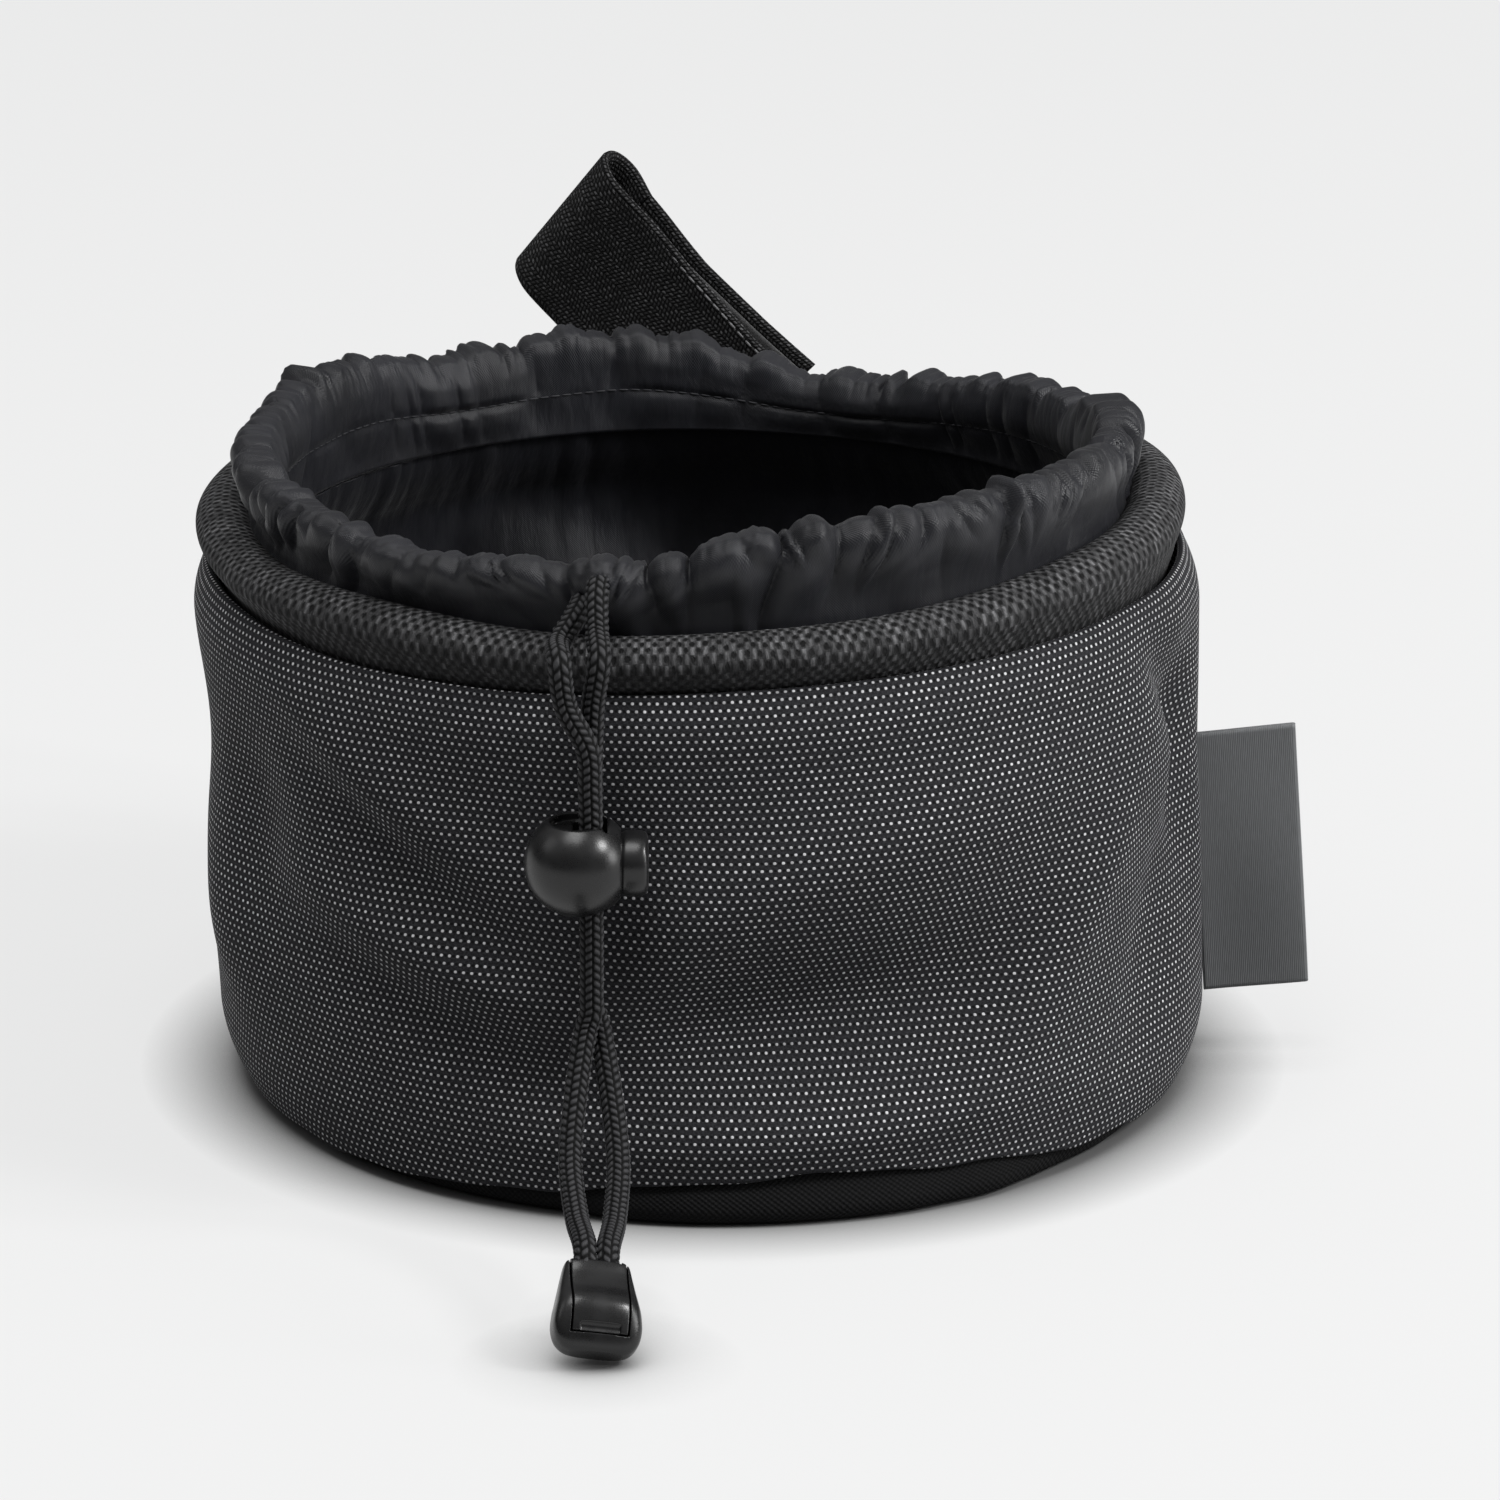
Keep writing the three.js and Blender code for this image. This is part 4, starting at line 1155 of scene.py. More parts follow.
def build_wall(look):
    """Padded wall with its top edge folded over."""
    thick = look.wall_thick
    angle = turn_angles(WALL_COLUMNS)
    top = WALL_TOP + hem_rise(angle) - thick / 2
    rise = np.linspace(0, 1, WALL_ROWS)[:, None] ** 1.15
    low = wall_foot(angle)
    up = low + rise * (top - low)
    turn = np.linspace(0, np.pi, 9)[1:-1, None]
    fold = top + thick / 2 * np.sin(turn)
    fold_radius = wall_radius(top, angle) - thick / 2 + thick / 2 * np.cos(turn)
    z = np.vstack([up, fold, up[::-1]])
    outer = wall_radius(up, angle)
    r = np.vstack([outer, fold_radius, outer[::-1] - thick])
    points = lean(around(r + dent(angle, z), angle, z))
    pitch = look.dot_pitch
    u = np.linspace(0, round(2 * np.pi * WALL_RADIUS / pitch) * pitch, WALL_COLUMNS + 1)
    v = np.vstack([up, top + thick * turn / 2, 2 * top + thick * np.pi / 2 - up[::-1], up[:1]])
    v = np.hstack([v, v[:, :1]])
    uv = joined(u[None, :], v)
    fabric = finish("dotted_fabric", dotted_fabric, look)
    wall = mesh_piece("drum_wall", points, uv, fabric, wrap_rows=True, wrap_cols=True)
    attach(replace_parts(wall, "outer_wall"), "bag")


def build_base(look):
    """Dished base: flat on the floor, its edge turned up behind the wall's foot."""
    angle = turn_angles(240)
    foot = wall_foot(angle)
    front = smoothstep(4 * MM, 8 * MM, foot)
    bulge = BASE_BULGE * front
    corner = BASE_CORNER - 0.6 * MM * front
    inside = wall_radius(foot, angle) - look.wall_thick - BASE_GAP
    edge = inside + bulge - corner
    flat = np.linspace(0.0, 1.0, 40)[:, None]
    turn = np.linspace(-np.pi / 2, 0, 14)[1:, None]
    lip = np.linspace(0.0, 1.0, 10)[1:, None]
    r = np.vstack(
        [
            HUB + flat * (edge - HUB),
            edge + corner * np.cos(turn),
            inside + bulge * (1 - smoothstep(0.0, 0.62, lip)) - lip * 0.2 * MM,
        ]
    )
    rise = lip * (foot + BASE_LIP - corner)
    z = np.vstack([0 * flat + 0 * angle, corner + corner * np.sin(turn), corner + rise])
    puff = 0.18 * MM * smoothstep(0.05, 0.07, r) * np.abs(waves(angle, seed=5, low=30, high=70, count=6) + 1)
    puff = puff * (1 - smoothstep(edge - 2 * MM, edge, r)) * (z < 1e-6)
    points = lean(around(r, angle, z + BASE_LIFT + puff), 0, 0)
    cloth = finish("plain_fabric", plain_fabric, look)
    base = ring_sheet("drum_base", points, BASE_THICK, 0.06, cloth)
    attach(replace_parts(base, "base_panel"), "bag")
    turn = turn_angles(BASE_STITCHES)[0]
    places = lean(around(BASE_RADIUS - BASE_SEAM, turn, 0.28 * MM), 0, 0)
    down = np.tile([0, 0, -1.0], (BASE_STITCHES, 1))
    along = np.stack([np.cos(turn), np.sin(turn), 0 * turn], 1)
    thread = finish("dark_thread", sewing_thread, shade(look.lining, 1.2))
    stitches = stitch_row("base_stitching", places, along, down, *BASE_SEWING, thread)
    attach(stitches, "bag")


def build_linings(look):
    """Slack lining of the wall and the base inside."""
    cloth = finish("lining_fabric", taffeta, "lining_fabric", look.lining, 0.5)
    path = through(np.array(LINING_PATH) * MM, 110)
    r, z = path[:, :1], path[:, 1:]
    angle = turn_angles(RING_COLUMNS)
    slack = smoothstep(8 * MM, 22 * MM, z) * (1 - smoothstep(60 * MM, 84 * MM, z))
    drawn = smoothstep(56 * MM, 84 * MM, z)
    drift = 0.06 * np.sin(3 * angle + z * 40) + 0.03 * np.sin(7 * angle - z * 60)
    broad = 0.55 * waves(angle + drift, seed=11, low=5, high=22, count=7)
    small = 0.4 * waves(angle, seed=12, low=9, high=30, count=5) * np.sin(z * 90 + 3)
    puffs = 0.9 * lobes(angle + drift * 0.4, seed=13, count=96, jitter=0.6)
    wrinkle = -np.abs(slack * (broad + small)) - drawn * puffs
    points = lean(around(r + dent(angle, z) * slack + wrinkle * MM, angle, z))
    lining = ring_sheet("wall_lining_cloth", points, LINING_THICK, LINING_RADIUS, cloth)
    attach(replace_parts(lining, "wall_lining"), "bag")
    r = np.linspace(HUB, FLOOR_EDGE, 90)[:, None]
    swell = waves(angle, seed=21, low=2, high=5, count=4) * 0.5 * smoothstep(0.0, 0.05, r)
    swell = swell + waves(angle, seed=22, low=18, high=40, count=6) * 0.35 * smoothstep(0.05, 0.075, r)
    z = LINING_FLOOR - 0.3 * MM + (np.abs(swell) + 0.2) * MM
    floor = ring_sheet("base_lining_cloth", lean(around(r, angle, z), 0, 0), FLOOR_THICK, 0.05, cloth)
    lay_flat(floor)
    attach(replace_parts(floor, "base_lining"), "bag")


class PEGBAG_OT_drum(bpy.types.Operator):
    """Build the dotted wall, the base and the linings"""

    bl_idname = "pegbag.drum"
    bl_label = "Drum"

    def execute(self, context):
        look = context.scene.peg_bag.drum
        build_wall(look)
        build_base(look)
        build_linings(look)
        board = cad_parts["base_stiffener"]
        board.data.materials.clear()
        board.data.materials.append(finish("base_board", grey_board, look))
        return {"FINISHED"}


# Rim and collar


BAND_PATH = [
    # radius and height of the rolled tape, in mm, from the wall over the roll to the inside
    (78.4, 84.4),
    (79.2, 87.4),
    (80.6, 90.8),
    (82.2, 94.4),
    (82.9, 97.0),
    (82.2, 99.0),
    (80.2, 100.5),
    (77.8, 100.6),
    (75.6, 99.2),
    (74.9, 96.4),
    (74.9, 91.4),
]
BAND_FREE = (88 * MM, 94 * MM)
RIGHT_DIP = 1.0
BACK_DIP = 4.5
HOOP_DROP = 2.0 * MM
HOOP_SIDES = 24
HOOP_COLUMNS = 180


def band_level(z, angle):
    """Height of the rolled tape: pressed lower in front, and lifted with the wall's hem below."""
    low = np.exp(-(((np.degrees(angle) + 10) / 70) ** 4))
    root = WALL_TOP - BAND_ROOT
    pressed = np.where(z > root, root + (z - root) * (1 - BAND_PRESS * low), z + 0 * low)
    return pressed + hem_rise(angle) * (1 - smoothstep(WALL_TOP, BAND_TOP, z))


def right_side(angle):
    """Share of the stretch of the rim on the right."""
    return np.exp(-(((np.degrees(angle) - 88) / 40) ** 2))


def band_dip(angle):
    """How far the rolled tape drops on the right and at the back."""
    return MM * (RIGHT_DIP * right_side(angle) + BACK_DIP * back_dip(angle))


class PEGBAG_OT_rim(bpy.types.Operator):
    """Build the rolled rim tape and finish the hoop inside it"""

    bl_idname = "pegbag.rim"
    bl_label = "Rim"

    def execute(self, context):
        look = context.scene.peg_bag.rim
        tape = finish("rim_tape", mesh_tape, "woven_tape", look.tape, look.tape_yarn)
        path = through(np.array(BAND_PATH) * MM, 80)
        r, z = path[:, :1], path[:, 1:]
        angle = turn_angles(RING_COLUMNS)
        above = smoothstep(*BAND_FREE, z)
        r = r + above * MM * (0.35 * waves(angle, seed=31, low=2, high=9, count=6) - 0.9 * right_side(angle))
        z = band_level(z, angle)
        z = z + above * (0.5 * MM * waves(angle, seed=32, low=2, high=8, count=6) - band_dip(angle))
        band = ring_sheet("rim_band_tape", lean(around(r, angle, z)), look.band_thick, BAND_RADIUS, tape)
        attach(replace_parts(band, "rim_band"), "bag")
        self.hoop(context)
        return {"FINISHED"}

    def hoop(self, context):
        """Steel wire inside the rolled tape."""
        low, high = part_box("rim_hoop")
        half = (high.z - low.z) / 2
        turn = full_turn(HOOP_SIDES)[:, None]
        angle = turn_angles(HOOP_COLUMNS)
        level = band_level(low.z + half - HOOP_DROP, angle) - band_dip(angle)
        ring = around(high.x - half + half * np.cos(turn), angle, level + half * np.sin(turn))
        uv = np.zeros((HOOP_SIDES + 1, HOOP_COLUMNS + 1, 2))
        steel = finish("spring_steel", drawn_steel, context.scene.peg_bag.cord)
        wire = mesh_piece("rim_hoop_wire", lean(ring), uv, steel, wrap_rows=True, wrap_cols=True)
        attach(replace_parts(wire, "rim_hoop"), "bag")


RIM_COURSE = [
    # angle from the front and height of the gathered rim, in mm
    (-14, 109.4),
    (-9, 108.8),
    (-3, 110.4),
    (6, 113.4),
    (20, 115.4),
    (40, 116.8),
    (65, 116.2),
    (90, 113.8),
    (108, 109.6),
    (120, 108.4),
    (132, 106.6),
    (142, 104.0),
    (152, 101.2),
    (162, 100.6),
    (168, 101.4),
    (178, 105.4),
    (188, 108.6),
    (214, 106.6),
    (232, 111.0),
    (270, 110.2),
    (300, 109.4),
    (325, 107.4),
    (338, 108.8),
]
COLLAR_DRAW = [
    # angle from the front and how far the rim is drawn in, in mm
    (-150, 0.6),
    (-90, 2.8),
    (-40, 0.2),
    (0, 0.0),
    (50, 0.8),
    (80, 4.2),
    (105, 5.2),
    (135, 2.8),
    (170, 0.0),
]
COLLAR_PATH = [
    # share of the height from the foot to the rim, and reach from the cord's ring in mm
    (0.00, 2.6),
    (0.20, 2.7),
    (0.36, 2.8),
    (0.48, 3.0),
    (0.58, 3.6),
    (0.68, 4.5),
    (0.78, 5.2),
    (0.88, 5.3),
    (0.95, 4.4),
    (1.00, 2.6),
    (0.985, 0.8),
    (0.92, -0.4),
    (0.80, -1.0),
    (0.64, -1.1),
    (0.46, -1.2),
    (0.25, -1.3),
    (0.02, -1.4),
]
COLLAR_FOLDS = [
    # seed, folds round the rim, unevenness, depth in mm, and shortest and longest run down the collar
    (42, 44, 0.90, 3.0, 0.40, 0.95),
    (41, 98, 0.85, 1.8, 0.22, 0.55),
    (44, 170, 0.80, 0.7, 0.08, 0.20),
]
COLLAR_ROWS = 120
COLLAR_COLUMNS = 1080
COLLAR_SEAM = 0.46
COLLAR_FOOT = 4.0 * MM
CHANNEL_SEWING = (0.35 * MM, 1.8 * MM, 0.12 * MM)
CHANNEL_STITCH = 5


def gathers(angle, up):
    """Outward puffs of the gathered rim in mm, with sharp creases that run down to uneven depths."""
    total = 0
    for seed, count, jitter, depth, short, long in COLLAR_FOLDS:
        slant = waves(angle, seed=seed + 100, low=4, high=13, count=5)
        turned = angle + 0.15 * slant * (1 - up)
        puff = lobes(turned, seed, count, jitter)
        uneven = np.clip(waves(turned, seed=seed + 200, low=9, high=40, count=6), -1, 1)
        reach = short + (long - short) * (0.5 + 0.5 * uneven)
        total = total + depth * (puff - 0.3) * smoothstep(1 - reach, 1 - 0.35 * reach, up)
    return total


def back_dip(angle):
    """Share of the low stretch of the rim, at the back on the right."""
    return np.exp(-((wrapped(np.degrees(angle) - 150) / 32) ** 2))


def collar_draw(angle):
    """How far the gathered rim is drawn in towards the middle."""
    return round_knots(COLLAR_DRAW, angle) * MM


def rim_height(angle):
    """Height of the gathered rim round the bag, before its stance."""
    return round_knots(RIM_COURSE, angle) * MM


class PEGBAG_OT_collar(bpy.types.Operator):
    """Build the gathered collar and the stitching of its cord channel"""

    bl_idname = "pegbag.collar"
    bl_label = "Collar"

    def execute(self, context):
        look = context.scene.peg_bag
        cloth = finish("collar_fabric", taffeta, "collar_fabric", look.drum.lining, 0.42)
        path = through(np.array(COLLAR_PATH) * (1.0, MM), COLLAR_ROWS)
        up, reach = path[:, :1], path[:, 1:]
        rim_row = int(np.argmax(up))
        outer = (np.arange(COLLAR_ROWS) <= rim_row)[:, None]
        angle = turn_angles(COLLAR_COLUMNS)
        rim = rim_height(angle)
        foot = COLLAR_LOW + COLLAR_FOOT
        z = foot + (rim - foot) * up
        broad = waves(angle, seed=43, low=6, high=17, count=6)
        left = 0.1 * np.exp(-((wrapped(np.degrees(angle) + 90) / 55) ** 2)) * smoothstep(0.2, 0.5, up)
        reach = np.where(outer, reach * (1 - left), reach)
        fall = smoothstep(0.34, 0.72, up)
        near_rim = smoothstep(0.70, 0.97, up)
        puffs = gathers(angle, up)
        askew = 0.05 * np.sin(5 * angle + 1.0) * (1 - up)
        folds = lobes(angle + askew, seed=42, count=46, jitter=0.8)
        seam = 1 - np.exp(-(((up - COLLAR_SEAM) / 0.05) ** 2))
        inward = (1.2 * folds + 0.5 * broad) * (0.25 + 0.75 * seam) * smoothstep(0.0, 0.3, up)
        outward = puffs + 0.6 * fall * broad
        push = np.where(outer, outward, -inward * (1 - near_rim) - 0.1 * near_rim * puffs)
        radius = CORD_RING + 0.4 * MM + reach + push * MM - collar_draw(angle) * smoothstep(0.1, 0.7, up)
        z = z + near_rim * MM * 0.75 * gathers(angle, np.ones_like(up))
        points = lean(around(radius, angle, z), 0, 0)
        collar = ring_sheet("collar_cloth", points, look.rim.collar_thick, CORD_RING, cloth)
        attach(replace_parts(collar, "drawstring_collar"), "bag")
        seam_row = rim_row + int(np.argmin(np.abs(up[rim_row:, 0] - COLLAR_SEAM)))
        ring = points[seam_row, ::CHANNEL_STITCH]
        along = unit(np.roll(ring, -1, axis=0) - np.roll(ring, 1, axis=0))
        inside = unit(-ring * (1, 1, 0))
        thread = finish("dark_thread", sewing_thread, shade(look.drum.lining, 1.2))
        places = ring + inside * 0.3 * MM
        stitches = stitch_row("channel_stitching", places, along, inside, *CHANNEL_SEWING, thread)
        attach(stitches, "bag")
        return {"FINISHED"}


# Lock and cord end


class PEGBAG_OT_lock(bpy.types.Operator):
    """Build the ball, the button and the spring of the cord lock"""

    bl_idname = "pegbag.lock"
    bl_label = "Cord lock"

    def execute(self, context):
        look = context.scene.peg_bag.cord
        plastic = finish("black_plastic", moulded_plastic, look)
        centre = lock_centre(look.size)
        place = Matrix.Translation(Vector(centre))
        far = 2 * look.ball
        slot_half = look.plump / 2 + 2 * SEW_GAP
        slot_low, slot_high = LOCK_CORD_OFFSET - slot_half - SEW_GAP, LOCK_CORD_OFFSET + slot_half
        slot_deep = (TAIL_PITCH + look.plump + SEW_GAP) / 2
        mouth = rod(MOUTH_RADIUS, look.ball_flat - MOUTH_DEEP, far)
        mouth.data.transform(Matrix.Rotation(-math.pi / 2, 4, "Y"))
        bore_end = slot_low - BORE_PAST
        coil_low, coil_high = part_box("cord_lock_spring")
        pocket = (coil_high.z - coil_low.z) / 2 + 2 * LOCK_FIT
        pocket_end = coil_low.x - LOCK_FIT - centre[0]
        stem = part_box("cord_lock_plunger")[0].x - centre[0]

        tilt = np.linspace(0.02, np.pi - 0.02, 96)[:, None]
        turn = full_turn(128)
        rings = joined(np.cos(tilt), np.sin(tilt) * np.cos(turn), np.sin(tilt) * np.sin(turn))
        ball = moulded(
            "cord_lock_ball",
            loft("ball", look.ball * rings),
            [
                block((-far, -far, look.ball_flat), (far, far, far)),
                block((-far, -far, -far), (far, far, -0.98 * look.ball)),
                rod(look.button + LOCK_FIT, bore_end, far),
                rod(pocket, pocket_end, far),
                block((slot_low, -slot_deep, -far), (slot_high, slot_deep, far)),
                mouth,
            ],
            BALL_VOXEL,
            5,
            place,
            plastic,
        )
        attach(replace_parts(ball, "cord_lock_barrel"), "cord_lock")

        profile = through(
            np.array(
                [
                    (stem, look.button - BUTTON_SLACK),
                    (look.ball * 0.72, look.button - BUTTON_SLACK),
                    (look.ball * 0.78, look.button - BUTTON_GROOVE),
                    (look.ball * 0.86, look.button),
                    (BUTTON_PROUD - BUTTON_ROUND, look.button),
                    (BUTTON_PROUD - BUTTON_ROUND * 0.3, look.button - BUTTON_ROUND * 0.3),
                    (BUTTON_PROUD, look.button - BUTTON_ROUND),
                    (BUTTON_PROUD + 0.12 * MM, look.button * 0.45),
                    (BUTTON_PROUD + 0.15 * MM, 0.02 * MM),
                ]
            ),
            120,
        )
        rings = joined(profile[:, :1], profile[:, 1:] * np.cos(turn), profile[:, 1:] * np.sin(turn))
        button = moulded(
            "cord_lock_button",
            loft("button", rings),
            [block((slot_low, -slot_deep, -far), (slot_high + BUTTON_TRAVEL, slot_deep, far))],
            BUTTON_VOXEL,
            3,
            place,
            plastic,
        )
        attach(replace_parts(button, "cord_lock_plunger"), "lock_button")
        self.spring(look)
        return {"FINISHED"}

    def spring(self, look):
        """Coil of wire under the button, built at rest; the real coil shortens as the button goes in."""
        low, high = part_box("cord_lock_spring")
        middle = (low + high) / 2
        long = high.x - low.x
        radius = (high.z - low.z - SPRING_WIRE) / 2
        part = np.linspace(0, 1, SPRING_STEPS)
        turn = 2 * np.pi * SPRING_TURNS * part
        line = joined(
            low.x + SPRING_WIRE / 2 + (long - SPRING_WIRE) * part,
            middle.y + radius * np.cos(turn),
            middle.z + radius * np.sin(turn),
        )
        side, out = turned_frames(line)
        turn = full_turn(SPRING_SIDES)[None, :, None]
        ring = side[:, None] * np.cos(turn) + out[:, None] * np.sin(turn)
        points = line[:, None] + SPRING_WIRE / 2 * ring
        uv = np.zeros((SPRING_STEPS, SPRING_SIDES + 1, 2))
        steel = finish("spring_steel", drawn_steel, look)
        coil = mesh_piece("cord_lock_coil", points, uv, steel, wrap_cols=True, capped=True)
        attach(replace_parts(coil, "cord_lock_spring"), "cord_lock")
        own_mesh(coil)


END_SECTIONS = [
    # along from the neck, half width, depth to the front and to the back, all in mm
    (0.0, 4.6, 1.9, 3.0),
    (0.5, 5.1, 2.2, 3.5),
    (2.5, 5.6, 2.5, 3.9),
    (5.0, 6.1, 3.2, 3.9),
    (7.5, 6.6, 4.3, 3.9),
    (9.0, 6.9, 4.4, 3.9),
    (11.5, 7.1, 3.7, 3.8),
    (13.6, 6.6, 2.8, 3.4),
    (14.9, 5.5, 1.9, 2.7),
    (15.4, 4.2, 1.1, 2.0),
]
END_POWER = 2 / 3.4
END_VOXEL = 0.11 * MM
END_FAR = 30 * MM
END_FOOT = 13.2 * MM
END_INSIDE = 4.7 * MM
GROOVE_HALF = 3.2 * MM
GROOVE_RADIUS = 1.1 * MM
GROOVE_ALONG = 12.6 * MM
GROOVE_DEEP = -3.9 * MM


def end_body():
    """Rounded body of the cord end, from the neck to the foot."""
    course = through(np.array(END_SECTIONS) * MM, 64)
    turn = full_turn(96)
    c = np.sign(np.cos(turn)) * np.abs(np.cos(turn)) ** END_POWER
    s = np.sign(np.sin(turn)) * np.abs(np.sin(turn)) ** END_POWER
    deep = np.where(s > 0, course[:, 3:], course[:, 2:3])
    return loft("end", joined(course[:, 1:2] * c, course[:, :1], deep * s))


class PEGBAG_OT_cord_end(bpy.types.Operator):
    """Build the shell and the lid of the cord end"""

    bl_idname = "pegbag.cord_end"
    bl_label = "Cord end"

    def execute(self, context):
        look = context.scene.peg_bag.cord
        plastic = finish("black_plastic", moulded_plastic, look)
        place = Matrix(end_matrix().tolist())
        far = END_FAR
        grip = TAIL_PITCH / 2 + look.size / 2 + SEW_GAP
        deep = look.size / 2 + SEW_GAP

        def channel():
            return block((-grip, -far, -deep), (grip, END_GRIP + 2 * SEW_GAP, deep))

        shell = moulded(
            "cord_end_shell",
            end_body(),
            [block((-END_INSIDE, -far, -far), (END_INSIDE, END_FOOT, 0)), channel()],
            END_VOXEL,
            4,
            place,
            plastic,
        )
        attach(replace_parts(shell, "cord_end_base"), "bag")
        lid_half = END_INSIDE - SEW_GAP
        groove = rod(GROOVE_RADIUS, -GROOVE_HALF, GROOVE_HALF)
        groove.data.transform(Matrix.Translation((0, GROOVE_ALONG, GROOVE_DEEP)))
        lid = moulded(
            "cord_end_lid",
            end_body(),
            [
                block((-far, -far, -SEW_GAP), (far, far, far)),
                block((-far, END_FOOT - SEW_GAP, -far), (far, far, far)),
                block((-far, -far, -far), (-lid_half, far, far)),
                block((lid_half, -far, -far), (far, far, far)),
                groove,
                channel(),
            ],
            END_VOXEL,
            4,
            place,
            plastic,
        )
        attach(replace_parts(lid, "cord_end_cover"), "end_cover")
        declare_tails(context)
        return {"FINISHED"}


# Strap


STRAP_ANGLE = math.radians(21)
STRAP_LEAN = math.radians(44)
STRAP_FOLD_SIDE = -63.2 * MM
STRAP_FOLD_TOP = 126.0 * MM
STRAP_SLIDE = 2.8 * MM
STRAP_SKEW = 0.087
LEG_DRIFT = [(0, -0.5), (10, -1.6), (25, -2.8), (42, -3.0), (62, 0.0)]
FLAP_DRIFT = [(0, -0.5), (10, -1.6), (25, -2.1), (40, -1.0), (55, 0.6)]
STRAP_HINGE = 66.0 * MM
STRAP_ROOT = 26.0 * MM
STRAP_FLAP = 52.5 * MM
STRAP_EASE = 22 * MM
SKEW_REACH = 30 * MM
SEWN_ABOVE = 9 * MM
SEWN_BELOW = 3 * MM
SWING_BELOW = 4 * MM
SWING_ABOVE = 8 * MM
STRAP_SEWING = (0.45 * MM, 1.8 * MM, 0.12 * MM)
STRAP_LOOP = 5.0 * MM
FLAP_START = 14.0 * MM
TAPE_THICK = 1.1 * MM
TAPE_START = 24.0 * MM
TAPE_INSET = 2.0 * MM
SEW_INSET = 1.2 * MM
SEW_PITCH = 2.2 * MM
HOOK_LENGTH = 36.0 * MM
PATCH_LENGTH = 26.0 * MM


def strap_axes():
    """Directions along the strap, away from the bag and across the webbing, and the fold's place."""
    out = np.array([math.sin(STRAP_ANGLE), math.cos(STRAP_ANGLE), 0])
    tangent = np.array([out[1], -out[0], 0])
    along = tangent * math.cos(STRAP_LEAN) - np.array([0, 0, 1]) * math.sin(STRAP_LEAN)
    fold = out * WALL_RADIUS + tangent * STRAP_FOLD_SIDE + np.array([0, 0, STRAP_FOLD_TOP])
    return along, out, np.cross(along, out), fold


def strap_set(points, drift):
    """The worn set of the strap: slid towards its end, its fold askew, and drifted across."""
    along, out, across, fold = strap_axes()
    l, w = (points - fold) @ along, (points - fold) @ across
    free = 1 - smoothstep(STRAP_HINGE - STRAP_EASE, STRAP_HINGE, l)
    slide = STRAP_SLIDE - STRAP_SKEW * w * (1 - smoothstep(0, SKEW_REACH, l))
    places, shifts = np.array(drift).T * MM
    return points + along * (slide * free)[:, None] + across * np.interp(l, places, shifts)[:, None]


def strap_strip(name, course, width, thick, material, drift, uv_start=0.0, wrap=False):
    """A strip of webbing along a course of (length, depth) pairs in the strap's frame."""
    along, out, across, fold = strap_axes()
    line = fold + course[:, :1] * along + course[:, 1:] * out
    step = unit(np.gradient(line, axis=0))
    normal = unit(np.cross(step, np.broadcast_to(across, step.shape)))
    piece = swept(
        name, line, np.tile(across, (len(line), 1)), normal, flat_section(width, thick), material, uv_start
    )
    set_points(piece.data, strap_set(get_points(piece.data).astype(float), drift))
    if wrap:
        lay_round(piece)
    return piece


def lay_round(piece):
    """Lay the sewn end of the strap round the drum, from the hinge downwards."""
    along, out, across, fold = strap_axes()
    tangent = np.array([out[1], -out[0], 0])
    co = get_points(piece.data).astype(float)
    sewn = smoothstep(STRAP_HINGE - SEWN_ABOVE, STRAP_HINGE + SEWN_BELOW, (co - fold) @ along)
    radius = co @ out
    turn = (co @ tangent) / radius
    laid = out * (radius * np.cos(turn))[:, None] + tangent * (radius * np.sin(turn))[:, None]
    laid[:, 2] = co[:, 2]
    co = co + (laid - co) * sewn[:, None]
    set_points(piece.data, co)


